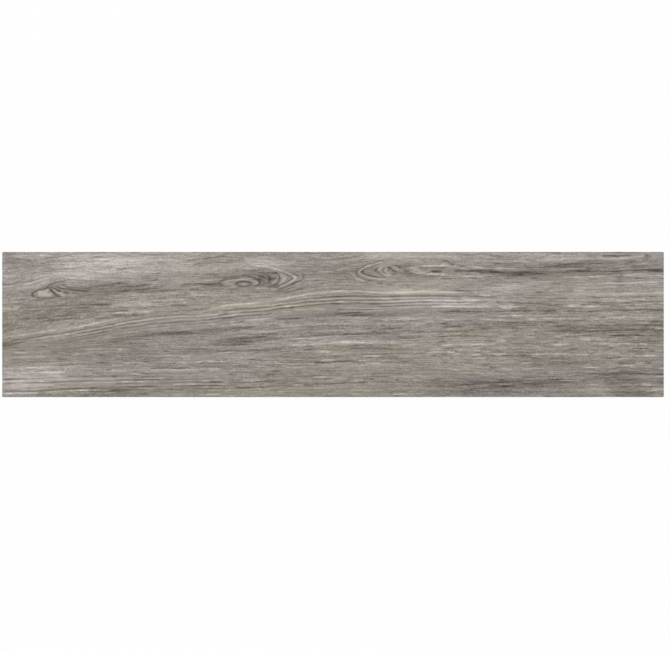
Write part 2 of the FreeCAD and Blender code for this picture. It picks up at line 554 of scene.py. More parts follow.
STREAKS = (
    Strokes(-44, 1.5, (
        (712, 172, 720, 172, 730, 172.2), (641, 174, 650, 174.2, 660, 174, 673, 174.6),
        (671, 172.3, 680, 172.2, 693, 171.5), (868, 174.6, 885, 175, 912, 175.2), (890, 173.4, 912),
        (825, 194.6, 850, 194.6, 867, 195.4), (592, 173.2, 597, 172.7, 604, 172.6),
    )),
    Strokes(-36, 1.2, (
        (16, 190, 30, 189.6, 41, 188), (58, 191.6, 80, 192.6), (118, 192, 130, 193, 147, 192.4),
        (88, 149, 98, 147.8, 110, 146.6, 122, 146), (252, 187.6, 262, 189, 272, 189.6),
        (272, 189.6, 285, 191.5, 308, 194.3), (157, 146.5, 168, 146, 177, 147.4),
        (152, 156, 158, 157, 165, 157, 173, 156.6), (176, 152, 187), (148, 76, 161, 76.6),
        (179, 113.6, 186, 113.4), (229, 126.4, 245, 126.6, 256, 127), (277, 155, 285, 155, 297, 156.5),
        (350, 82.4, 358, 83.4, 365, 83.4), (357, 86.4, 369, 86.6), (377, 107, 396, 108, 416, 108.6),
        (395, 123.4, 403, 123.6), (622, 173.6, 630, 174, 640, 174), (608, 190, 612, 186.6, 617, 184.4,
         622, 182.4), (773, 172, 785, 173.6, 800, 174), (800, 174, 815, 172.8, 830, 173, 852, 173),
        (852, 173, 862, 175, 872, 175), (877, 131.6, 895, 131.6, 912, 132),
        (874, 92.4, 890, 92.6, 912, 92.5), (835, 92, 860, 92, 878, 92.5), (848, 46, 873, 46.4),
        (872, 163.8, 881), (532, 95.4, 537, 94.4, 541, 94), (542, 94.6, 551, 95),
        (700, 119, 710, 118.6, 723, 118.4), (501, 54.8, 509, 55), (516, 155.8, 524),
        (470, 49.4, 480, 50, 493, 50.3), (488, 46.2, 496, 47.2, 501, 46.4), (428, 47.8, 445, 47.6),
        (390, 47.8, 412, 48.3), (345, 21.2, 358, 21.8, 369, 22.4), (352, 14, 362), (303, 51.1, 312, 51.4),
        (214, 170.6, 220, 170.4), (222, 24.2, 238, 25), (173, 29.5, 186, 29.6), (204, 39.5, 222, 39.6),
        (12, 46.2, 23, 46.6), (127, 47.4, 143, 47.6), (683, 193, 696), (0, 71, 5, 72),
    )),
    Strokes(-26, 1.3, (
        (0, 8, 30, 8, 48, 8.3), (45, 8.4, 75, 10.6, 110, 12, 150, 12), (150, 9, 180, 8.6),
        (0, 19.2, 45, 19.6, 82, 20.6), (85, 22, 110, 21.6, 126, 23, 156, 22), (82, 28, 120, 28, 160, 28.8),
        (125, 32.8, 141, 32.4), (76, 52, 91), (10, 51, 36, 50.6), (68, 61.6, 79),
        (15, 133.5, 25, 134, 34, 135), (15, 128, 26, 129.4), (5, 70.5, 15, 72.5, 34, 76.5),
        (75, 78, 90, 79.8, 110, 84.6, 130, 87.6), (128, 87.2, 140, 89.5, 156, 93, 165, 94.9, 172, 95.3),
        (638, 138.6, 655, 138.5, 677, 138), (630, 130.2, 660, 131, 703, 130),
        (703, 129.7, 715, 129.4, 745, 129.2), (120, 127, 140, 127.6, 158, 127.4),
        (125, 116.6, 140, 117.2, 162, 118), (102, 126, 122, 126.6), (98, 123, 121, 123.5), (112, 150.8,
         125, 151.6, 140, 153.4, 156, 155.4), (197, 160.5, 205, 160.6, 215, 162), (160, 151.6, 178, 152),
        (185, 152, 195, 153.8, 208, 155), (180, 148, 197, 148.6, 217, 150.6), (185, 144.5, 205, 144.8,
         230, 147, 241, 146.6), (257, 148.2, 273, 147.8), (246, 155.5, 262, 156, 277, 156.6),
        (264, 183.6, 285, 184.6, 303, 186.2), (172, 183.2, 175, 182.4), (160, 177, 173, 176.5),
        (214, 185.6, 223, 185.5), (191, 184, 197), (420, 189.6, 451, 189.5), (325, 191, 333),
        (308, 188, 322, 188.5), (85, 195, 96, 195.4), (480, 193.5, 490, 194, 500, 195.8),
        (215, 86.6, 240, 86.6, 264, 87.6), (217, 88.6, 235, 89, 268, 90),
        (304, 96, 322, 95, 340, 96, 352, 97), (305, 93, 312), (367, 99, 381, 99.5), (320, 76.6, 346),
        (303, 79, 320, 79.6, 350, 82.2), (300, 72, 322, 72, 342, 72.2),
        (365, 79, 390, 81.5, 405, 82.6, 420, 84), (420, 84, 455, 85.5, 478, 86.6),
        (486, 87, 500, 87, 526, 87.6, 537, 88), (541, 83, 560, 82.6, 581, 83.4),
        (590, 90.8, 597, 90, 612, 90.6), (606, 97, 620, 97, 632, 97.6), (700, 97, 709),
        (746, 91, 765, 91.2), (760, 91.6, 800, 91, 836, 91.6), (815, 98.5, 850, 99, 890, 99),
        (836, 85, 861, 85.6), (864, 86, 876), (475, 67, 500, 67.4, 541, 67), (370, 65.5, 386, 65.6),
        (304, 63.5, 330, 64, 360, 65.2), (394, 68, 406, 68.6), (456, 55.5, 469),
        (488, 54.5, 520, 54.6, 555, 53.6), (455, 48.5, 471, 49.4), (410, 48.4, 430, 47.9),
        (445, 47.6, 460, 49), (380, 48, 392, 47.6), (312, 42.5, 329), (262, 42, 290, 42, 312, 42.4),
        (222, 40, 240, 40.5, 257, 40), (268, 46, 283, 46.6, 308, 46.6), (362, 31, 376, 31.4),
        (371, 35.5, 384), (310, 31.4, 324, 31), (456, 23, 486, 23.3), (497, 24.5, 513, 24.9),
        (466, 19.8, 485, 20, 501, 20.8), (582, 23, 592, 23.3, 604, 25), (310, 20, 325, 20, 346, 21),
        (369, 22.5, 385, 22.5, 409, 23.4), (425, 25, 440, 25.5, 454, 26.6), (320, 13, 340, 13.5, 353, 14),
        (360, 14.4, 392, 15.5, 405, 16), (377, 19, 394, 19.5), (413, 16.5, 430, 17.5, 462, 18.6),
        (240, 14.5, 266, 16.4, 310, 15.6), (180, 14.2, 200, 14.5, 217, 15), (284, 21, 302),
        (188, 28.4, 205, 28, 222, 28.6), (630, 17, 642, 17.5, 652, 18), (660, 20.2, 692, 21),
        (690, 15.4, 697, 15), (741, 15, 749, 14.6), (850, 24.5, 876, 24.6), (835, 32, 851, 32.5),
        (864, 33, 886, 33.6), (889, 31.4, 912, 31.6), (847, 49, 872, 49.2), (871, 15, 885, 15, 897, 13.6),
        (690, 57.5, 702), (625, 146.4, 652, 146.2), (732, 144, 746, 143.5),
        (812, 137, 840, 137.5, 855, 137), (814, 130, 823, 130.4, 872, 130.8), (877, 120.6, 886, 121),
        (788, 117.8, 814, 117.5), (607, 117, 620, 118, 631, 118), (456, 114, 470, 115, 500, 117),
        (480, 112.5, 501, 113), (585, 167, 597), (724, 169, 746, 169.4), (713, 168.6, 719, 168),
        (700, 171.2, 714, 172), (745, 180, 765, 181), (762, 181.6, 785, 184, 815, 185),
        (760, 178.6, 785, 179.4, 802, 181), (867, 179, 884, 178.6), (700, 192, 716, 192.5),
        (735, 192, 746, 192.4), (676, 101.6, 681, 101.5), (716, 102, 723, 101.4), (606, 101.5, 613),
        (521, 99, 528), (222, 63, 228), (294, 63, 310),
    )),
    Strokes(-15, 1.3, (
        (30, 31, 60, 30, 78, 32), (18, 64, 33), (86, 61.6, 100, 63, 119, 63.4), (119, 59.6, 143, 59),
        (45, 78.5, 54, 78.6), (50, 70, 61), (20, 95, 41, 97), (22, 121.6, 31, 122), (60, 120, 81, 121),
        (24, 111, 29, 114), (59, 107.5, 69, 108.4), (124, 108.4, 146, 110), (78, 183, 93, 182.4),
        (51, 183.6, 59, 183.4), (60, 177.6, 76, 178), (85, 177, 91), (155, 195, 230, 195.6),
        (155, 181, 166), (213, 180, 234, 180.6), (233, 171.6, 246, 173), (240, 141.5, 259),
        (205, 130, 223, 131.6), (262, 133, 269), (282, 129.5, 298, 130), (205, 48.5, 215, 49),
        (190, 63, 199), (190, 71, 236, 71.4), (160, 79, 201, 80), (175, 83, 209, 84.2), (195, 86, 208),
        (275, 92, 306, 95), (281, 76, 309, 79), (152, 20, 180, 19, 240, 20, 276, 21.4),
        (152, 23, 200, 23.6), (180, 35, 186, 35.4), (304, 46.6, 327), (338, 47, 362, 48),
        (328, 51.6, 352, 52.4), (370, 43.5, 410, 43.2, 440, 44), (394, 61.6, 416, 62),
        (330, 41.8, 352, 41.5), (304, 16, 327), (456, 70, 471), (540, 66, 561, 66.4), (582, 64, 591),
        (455, 98, 481, 98.5), (500, 59.5, 531, 58.6), (525, 49, 540, 49.6, 566, 50.4),
        (545, 48, 561, 47.6), (456, 45, 485, 45.2), (485, 27, 510, 28, 536, 28.6), (542, 39.5, 553),
        (576, 31, 582, 31.3), (640, 31, 652, 31.5), (640, 22, 651), (700, 17, 730, 18, 751, 19),
        (690, 45, 699, 44.6), (650, 55.4, 659, 55), (649, 62, 661), (672, 57, 681), (714, 57, 731, 57.4),
        (657, 95, 676, 95.5), (618, 85, 661, 84.2), (682, 84, 691), (721, 85, 746, 84),
        (590, 83, 604, 83.5), (559, 89.5, 586, 90), (760, 25, 776, 24.6), (769, 21.5, 791),
        (803, 28.5, 811), (817, 28.3, 824), (789, 47, 794, 47.4), (799, 48.5, 804), (844, 54.6, 856),
        (861, 63, 881), (889, 63, 901), (779, 84.6, 816, 85), (831, 78.6, 838, 77.8), (895, 72, 901, 71.5),
        (860, 104, 901), (834, 107, 861), (844, 123.5, 861), (838, 120, 863), (778, 123.5, 801, 123),
        (779, 147, 788), (827, 148, 837), (690, 140, 765), (690, 137, 741), (650, 117, 661, 117.5),
        (673, 118, 685), (735, 119, 765, 118.6), (683, 145, 689, 144.6), (529, 155, 538), (549, 155, 568),
        (580, 101.5, 602), (685, 168, 706, 167), (720, 179.5, 731, 180), (630, 195, 648),
        (870, 138.6, 906, 139),
    )),
    Strokes(32, 1.3, (
        (118, 99.8, 130, 101.6, 145, 105, 161, 109.2), (608, 124.6, 640, 124.6, 676, 124.5),
        (780, 165.4, 800, 165.4, 816, 166), (814, 166, 835, 167.2, 862, 167.5),
        (856, 167.5, 880, 167.6, 908, 168.4), (830, 157, 860, 156.6, 885, 158, 907, 158),
        (541, 144.3, 552, 144.8), (655, 166.2, 665, 166), (508, 46, 516, 46.3, 521, 47.4),
        (464, 76.6, 481, 76.8), (650, 144, 655), (18, 123.5, 25), (16, 61.4, 34, 61.5), (86, 86.4, 92, 87),
        (152, 37, 158), (170, 46.5, 181), (399, 71, 419, 71.5), (650, 58.4, 659, 58.8),
        (815, 59.6, 824, 60), (831, 109.5, 859, 110), (778, 125, 817, 124.6), (714, 38, 729),
        (751, 33, 761), (760, 60, 781),
    )),
    Strokes(21, 1.4, (
        (84, 93.4, 100, 96, 120, 99.6), (30, 155, 45, 158, 60, 163, 72, 166), (52, 156.4, 66, 160),
        (10, 131, 25, 131.5), (50, 34, 79), (30, 41, 60, 41, 101, 41.5), (145, 36.4, 157, 37.4),
        (50, 63, 66, 63.5), (85, 47.5, 103, 47.6), (4, 53, 13), (15, 55, 63, 55.2), (110, 66, 141),
        (60, 82, 80, 84, 101, 88), (100, 85, 125, 88.6, 141, 91),
        (130, 115, 150, 116, 185, 117.5, 207, 117.5), (158, 109, 171, 110), (205, 156, 215, 157),
        (156, 153.6, 172, 154.4), (260, 123, 281, 125), (288, 122, 308, 126),
        (190, 92, 215, 94, 236, 93.2), (240, 47.5, 276, 48), (284, 49, 310), (222, 52.5, 236),
        (247, 52, 273), (204, 36.6, 241, 37.6), (152, 44.6, 163), (295, 60.5, 306), (327, 54, 350, 55),
        (325, 91.5, 366, 92.4), (426, 142.8, 440, 144.2, 460, 145.4), (365, 134, 381, 136),
        (456, 145.5, 492, 147), (500, 145, 520, 144, 565, 144), (560, 144.4, 580, 146, 613, 144.6),
        (376, 46.4, 390, 46, 412, 46.4), (412, 46.4, 460, 46), (456, 75, 500), (424, 73, 460, 74),
        (370, 71, 381, 71.4), (500, 57, 523, 56.4), (545, 86, 569, 86.5), (585, 61.5, 604, 62),
        (562, 73, 573), (380, 98, 411, 99.4), (608, 72.5, 653, 73), (640, 59, 660, 58.5), (732, 60, 765),
        (683, 68, 691, 69), (685, 37.5, 716, 38), (768, 23, 796), (797, 81.6, 812, 82), (670, 93, 706),
        (608, 107.4, 692, 107), (740, 108.5, 776), (700, 124.2, 723, 124), (700, 155, 714, 154.6),
        (608, 168.5, 625, 167.4, 657, 166.4), (577, 173, 586, 170, 612, 168.6), (608, 181.5, 622, 180.6,
         632, 178.4, 640, 174.8), (640, 180, 662, 178), (676, 179, 700, 176.6, 723, 175.5),
        (575, 181, 612, 181.5), (760, 190, 800, 190.5, 862, 191), (858, 191, 872, 192.8, 886, 195.6),
        (480, 104, 501), (416, 162, 446, 162.8), (784, 127.5, 796, 127.4), (893, 10.5, 912, 11.5),
        (862, 37, 869, 37.6), (640, 133, 662, 134),
    )),
)

RINGS = (
    Strokes(-34, 1.4, (
        (302, 118.7, 315, 119.7, 326, 121.3, 341, 121.8, 351, 122.5, 361.5, 123.5, 372, 124.9, 382, 126.4,
         390, 128), (374, 125.2, 382, 126.4, 387, 127.6, 392, 128.3, 402.5, 129, 412, 130.5, 418, 131,
         428, 131.3, 438.5, 131.5, 458, 133, 470, 134), (326, 116.6, 334, 117, 341, 117.2, 351, 118,
         357, 118.2, 366, 119.2, 372, 120.3, 382, 121.8, 387, 122.5, 396, 123.3), (378, 121.2, 387, 122.5,
         398, 123.5, 411, 124.9, 418, 125.4, 428, 126.6, 433, 127.2, 441.5, 128.3, 458, 128.7, 470, 128.7),
        (300, 108.5, 306, 109, 314, 109.5, 323.5, 111, 331, 111.8, 336, 112.3, 344, 112.8, 353, 113.3,
         361.5, 113.9), (450, 137.4, 460, 138.6, 483, 138.7, 500, 138.2, 512, 138, 529, 138.2, 550, 138.8),
        (530, 138.3, 541, 138.7, 564, 139, 587, 139.2, 610, 138.8, 638, 138.6), (454, 133, 464, 134,
         481, 133.4, 500, 133.3, 529, 133.5, 550, 134.2), (450, 128.5, 460, 128.4, 472, 128.7, 489, 129.4,
         500, 128.7, 512, 128.4, 522, 128.8), (503, 128.6, 512, 128.4, 524.6, 128.9, 538.4, 129.4,
         552, 130.2, 567, 130.6, 584.5, 131.1, 594, 130.8),
    ), fade=0.08),
    Strokes(-27, 1.3, (
        (366, 126.2, 372, 128, 378, 129, 388, 131, 395, 131.7, 402.5, 132.6, 411, 133.8, 418, 134.6,
         426, 135.6, 438.5, 136.2), (430, 135.8, 438, 136.2, 454, 137.7, 470, 138.7),
        (298, 113, 305, 114.1, 312, 115), (361, 113.9, 368, 114.6, 372, 115.6), (532, 133.6, 541, 134,
         558, 134.4, 570, 134.5, 581, 135, 598, 135.1, 610, 134.8, 638, 134.4), (575, 130.9, 584, 131.1,
         598, 130.5, 616, 130.5, 638, 130.7), (515, 124.4, 529, 124.7, 543, 125.5, 552, 126.1, 575, 126.7,
         604, 126.8), (460, 121, 477, 120.7, 498, 120.4, 515, 120.8), (470, 112.4, 483, 112.5, 499, 113.2,
         512, 113), (465, 115.2, 480, 115.7, 495, 116.9), (382, 107.5, 396, 108.2, 410, 108.4),
        (605, 116.9, 614), (616, 118.4, 630), (396, 123.4, 401),
    ), fade=0.08),
    Strokes(23, 1.3, (
        (308, 116.7, 316, 117.4, 324.6, 118.2, 334, 119, 345, 119.5, 357, 120.5, 366, 121.5, 374, 122.8,
         384, 124.2, 392, 124.9, 401, 125.5), (383, 124.1, 392, 124.9, 402.5, 125.6, 413, 126.9,
         423, 128.5, 433, 129.5, 443.6, 130.7, 454, 131.3, 474, 131.4), (357, 124.6, 366, 125.4,
         376, 126.6, 382, 128, 392, 129, 400.5, 130, 411, 131.7, 418, 132.8, 428, 133.4, 454, 134.6,
         467, 135.6, 478, 136), (387, 135.6, 397, 137.7, 403, 138.7, 413, 140.3, 423, 142, 433, 142.8,
         443.6, 144.4, 459, 145.6, 470, 146.2), (450, 145, 460, 146, 471.5, 146.3, 495, 145.7, 506, 144.8,
         525, 144.3, 541, 144.9, 552, 144.6, 581, 145.2, 604, 144.6, 633, 144.3), (454, 131.3, 477, 131.5,
         491, 131.9, 506, 131.2, 520, 131.2, 535, 131.5, 550, 132.1, 564, 132.5, 581, 132.8, 593, 133.6,
         602, 133.2), (584, 133.1, 593, 133.6, 616, 132.8, 638, 132.5), (460, 122.1, 477, 122, 500, 121.9,
         518, 122.3, 531.5, 122.7, 543, 123.2, 558, 123.6, 567, 124.2), (549, 123.4, 558, 123.6,
         569.5, 124.4, 590, 124.6, 610, 124.9, 638, 124.7), (302, 124.8, 306, 125.9, 312, 126.9),
    ), fade=0.08),
    Strokes(20, 1.3, (
        (300, 111.6, 310, 112.5, 318, 113.2, 330, 114.6, 345, 115, 355, 116.4, 366, 117), (305, 125.6,
         312, 126.9, 320.5, 127.4, 331, 128.3, 349, 129.6), (336, 106.4, 346, 106.9, 356, 107.4,
         366, 108.2, 372, 109, 377, 110.5), (467, 135.9, 495, 136.5, 508, 136.2, 529, 135.8, 538, 136.2),
        (520, 136, 529, 135.8, 543, 136.5, 575, 136.9, 593, 137.3, 621, 136.5), (520, 126.5, 535, 126.9,
         552, 127.6, 575, 128.3, 600, 128.6, 635, 128.5), (463, 117.8, 477, 118.3, 495, 118.6, 512, 119,
         526, 119.4), (384, 117, 400, 117.6), (400, 120.3, 415, 120.4, 446, 121.2), (548, 109.2, 562),
        (486, 108.5, 504, 108.4), (334, 128.4, 341, 128.5, 347, 129.5, 353, 130.5, 359.5, 131.5),
        (380, 134.6, 387, 135.6),
    ), fade=0.08),
    Strokes(-30, 1.3, (
        (8, 76.4, 17, 78.5, 23, 79, 30, 79.6, 37, 81, 43, 82.3, 48, 83, 53, 83.5, 58, 85, 65, 85.7,
         71, 86.2, 80, 86.6), (78, 86.6, 85, 88.4, 90, 89.4, 97, 90.4, 103, 91.4, 112, 92.9, 118, 94.4,
         127, 95.9, 137, 97.1, 142, 98.4), (99, 86.1, 104, 87.8, 110, 88.5, 117, 89.4, 124, 91, 131, 92.2,
         137, 93.3, 144, 94.6, 150, 95.7, 158, 98.3), (140, 98, 149, 100.1, 158, 101.5),
        (0, 24.4, 12, 25, 22, 25.1, 37, 25.5), (62, 13.8, 73), (118, 12.4, 130), (112, 28.3, 117),
        (148, 9.1, 163), (190, 14.5, 208), (285, 20.8, 303), (7, 81, 12, 80.9), (163, 95, 172, 95.1,
         178, 96.6, 185, 97.2, 190, 98.2, 197, 99.3, 203, 100.7, 210, 101.2, 217, 101.3), (215, 101.3,
         225, 102, 232, 102.7, 238, 103.4, 245, 104.2, 252, 104, 260, 103.9, 267, 104.6, 274, 104.8),
        (272, 104.8, 281, 106.3, 287, 106.6, 293, 107.6, 300, 108.2, 308, 108.4, 314, 109.4, 320, 110.1),
    )),
    Strokes(-25, 1.3, (
        (157, 98.4, 165, 98.8, 172, 100.6, 177, 101, 185, 102.4, 190, 103), (175, 105.4, 181, 106.7,
         190, 107.5, 200, 109.2), (213, 111.4, 220, 111.8, 229, 112.2), (289, 116.2, 298, 116.9),
        (270, 101, 279, 101.4, 285, 101.6), (601, 101.3, 613), (284, 98.4, 288),
    )),
    Strokes(-18, 1.3, (
        (62, 81, 70, 82.2), (84, 84, 93, 85, 99, 86.1), (37, 25.5, 52, 25.8, 64, 27, 78, 27),
        (32, 13.1, 43), (24, 19.9, 33, 20.2, 46, 19.6, 60, 19.7, 78, 20.6, 97, 21.5, 112, 21.8),
        (105, 22, 118, 21.7, 127, 22.2), (0, 7.7, 20, 8, 35, 8.1, 48, 8.2, 56, 9.2, 68, 9.5, 80, 10.4,
         90, 11.1, 102, 11.4, 112, 11.9), (154, 22.9, 163, 22.8, 172, 23.3, 182, 23.3, 192, 23.5),
        (200, 23.8, 208, 24, 218, 24), (100, 31.8, 110, 31.7), (155, 18.3, 165),
        (165, 9.6, 180, 10.2, 200, 10.4), (125, 7.8, 138, 7.7), (185, 3.9, 206), (110, 3.6, 132),
        (158, 14, 172, 14.1, 186, 14.3), (206, 8, 222, 7.9), (212, 10.6, 237), (252, 8, 270),
        (262, 11.5, 285, 11.6, 303, 11.8), (276, 25.6, 294), (255, 15.6, 265, 16.1, 285, 15.9, 303, 16),
        (240, 24.3, 268), (262, 20.6, 272), (98, 107.6, 103), (119, 107.5, 127), (130, 108.5, 150, 109.8),
        (95, 101.4, 100), (110, 101.6, 117), (112, 97.1, 120, 97.2), (15, 73.2, 20, 74), (47, 78.6, 55),
        (20, 63.9, 33), (12, 58.7, 25), (116, 77.8, 125), (196, 49.2, 206, 48.2), (140, 47.7, 149),
        (148, 38, 156), (80, 32.4, 90), (44, 36.6, 58, 36.8), (195, 79.5, 206), (186, 71, 194),
        (62, 177.1, 70), (125, 179.8, 137), (114, 185.4, 126), (137, 186.7, 149), (167, 182.9, 176, 182.5),
        (157, 176.2, 168, 176.3), (98, 160.6, 108), (75, 145.4, 84), (140, 141.7, 150, 141.8, 162, 142.3),
        (196, 138.4, 206), (222, 137.1, 234), (215, 152.3, 229), (286, 162.6, 298, 163.6, 310, 165.6),
        (285, 169.4, 300, 169.7), (302, 194.3, 312), (243, 126, 253), (262, 120.4, 282, 121.7),
        (0, 155.2, 8), (0, 164.4, 5), (214, 93, 226, 93.6, 235, 94.3), (150, 92.4, 162, 92.7),
        (160, 103.2, 170, 104.1, 177, 105.8), (188, 103, 198, 103.6, 205, 104.6, 212, 106, 220, 106.9,
         227, 107.5, 235, 107.9), (198, 109, 208, 110.8, 215, 111.4), (227, 112.2, 239, 112.8, 246, 113.4,
         252, 113.4, 258, 113.5, 267, 113.6), (233, 107.8, 240, 108.4, 245, 109, 252, 109, 258, 109.2,
         264, 109.6, 270, 109.8, 276, 110.3, 283, 110.8), (281, 110.7, 290, 111.5, 297, 112.4, 304, 113,
         311, 113.9, 320, 114.6), (325, 102.5, 334, 103.1), (291, 102.8, 300, 102.9),
        (254, 100, 262, 99.7, 267, 100.3), (311, 101.3, 320, 101.4), (160, 118.9, 173, 119),
        (214, 97, 228),
    )),
    Strokes(26, 1.3, (
        (26, 85.4, 32, 85.9), (53, 89.3, 59, 90), (44, 6, 51, 6.2), (50, 21.6, 58),
        (122, 24.4, 140, 24.4, 156, 24.5), (166, 21.2, 176, 21.3), (186, 21.4, 194),
        (207, 21.7, 216, 21.8), (105, 9.3, 121), (196, 26, 222, 26.3), (277, 23, 285), (236, 17.6, 247),
        (255, 18.1, 266), (276, 13.8, 285), (0, 4.5, 12, 4.7), (10, 16.2, 18, 16.3), (0, 21.4, 6),
        (23, 22.2, 30), (152, 98.6, 157, 99.8, 165, 101.3, 172, 102.9, 178, 104, 185, 104.6, 192, 105.6,
         200, 106.6), (194, 106, 200, 106.6, 205, 107, 210, 107.6, 218, 108.8, 226, 109.3),
        (246, 111.2, 253, 111.3), (278, 108.1, 287, 108.5), (284, 113, 291, 113.7, 297, 114.2),
        (330, 104.9, 337, 105.4, 345, 106, 352, 106.3, 358, 107, 363, 107.6, 371, 108.7),
        (312, 102.6, 320, 103), (196, 117.4, 203, 117.5), (312, 99.8, 323, 100), (282, 99.9, 293),
        (234, 96.7, 255, 97.6),
    )),
    Strokes(18, 1.3, (
        (0, 83.2, 8, 83.7, 14, 84, 20, 84.6, 31, 85.8, 37, 87, 43, 87.8, 50, 88.6, 56, 89.7, 66, 91,
         72, 92, 80, 93.2), (15, 76, 22, 76.6, 28, 77.8), (45, 80.4, 50, 81, 57, 81.7, 63, 83, 70, 83.8,
         80, 84.2), (8, 78.6, 14), (94, 87.3, 103, 89, 110, 90.3, 116, 91.5, 124, 93, 130, 94.3, 137, 95.3,
         142, 96.8, 150, 98, 157, 98.9), (80, 81.3, 88, 82.3, 95, 83.5, 101, 84.8),
        (140, 91.8, 144, 92.8, 150, 93.9), (26, 10.8, 36, 10.9), (27, 16.8, 36),
        (45, 16.7, 62, 16.7, 74, 16.4), (74, 23.5, 90, 23.6, 104, 24.2), (48, 33.5, 66), (72, 29.2, 79),
        (105, 20, 130, 20, 145, 20.1, 155, 20.6, 163, 21, 172, 21.4, 190, 21.4, 205, 21.6, 214, 21.8),
        (140, 5.8, 155, 6.2), (163, 16.3, 180, 16.4, 197, 16.8), (171, 7.8, 190, 8),
        (175, 31.8, 190, 32.7), (124, 10, 146, 10.2), (215, 12.5, 245, 12.7), (222, 16.4, 232),
        (290, 23, 308), (288, 14, 306), (240, 6.4, 256), (284, 3.8, 301), (180, 12.2, 215, 12.1),
        (114, 61.3, 125), (96, 58.2, 108, 60.4), (158, 65.9, 167, 66), (190, 77.4, 204),
        (215, 96, 233, 96.1), (242, 93, 262, 94.4), (183, 87.7, 196, 89.7), (140, 82.6, 152, 82.8),
        (206, 56.1, 221, 56.2), (185, 46.3, 200, 47.1), (155, 37.1, 164), (178, 31.5, 188, 32.4),
        (75, 33.8, 88), (160, 26.7, 178), (138, 105.6, 144, 106), (155, 95, 163, 97, 170, 98.2, 176, 98.8,
         183, 99.6, 187, 100, 193, 101, 200, 102.7, 208, 103.4), (206, 103.3, 215, 104, 225, 104.4,
         235, 104.9, 243, 106.7, 258, 107, 265, 107.2, 271, 107.9, 280, 108.2), (224, 109.3, 232, 109.8,
         240, 110.4, 247, 111.2), (251, 111.3, 260, 111, 267, 111.1, 273, 112, 280, 112.5, 286, 113.1),
        (285, 108.6, 290, 109.4, 297, 110.1, 303, 111, 310, 111.6, 316, 112.1, 320, 113, 326, 113.3),
        (295, 114, 304, 115.2), (327, 101, 336, 101.5), (344, 102.6, 352), (353, 104, 362),
        (382, 104.2, 388), (200, 98.2, 213), (224, 99.9, 232, 100),
        (254, 97.6, 262, 98, 270, 98.8, 283, 99.8), (264, 102.4, 280, 103.3, 291, 104.4), (300, 98.3, 306),
        (218, 95.5, 228, 96.2, 236, 96.7), (258, 101.5, 263),
    )),
)

CRACKS = (
    Strokes(-42, 1.3, (
        (669.5, 171, 671.5, 173.6, 674, 175.4), (670.5, 179, 671.4, 174),
        (885.5, 197, 888.5, 194.4, 892, 192.4), (888, 192, 889.4, 187), (543.5, 22.8, 545.5, 24.4),
    ), Run.FREE, 0.1),
    Strokes(-20, 1.6, (
        (806.5, 180, 808, 172), (851.5, 168, 854, 158), (852.5, 152, 855, 144),
    ), Run.FREE, 0.2),
    Strokes(22, 1.3, ((684.5, 135, 684.5, 132),), Run.FREE, 0.2),
)

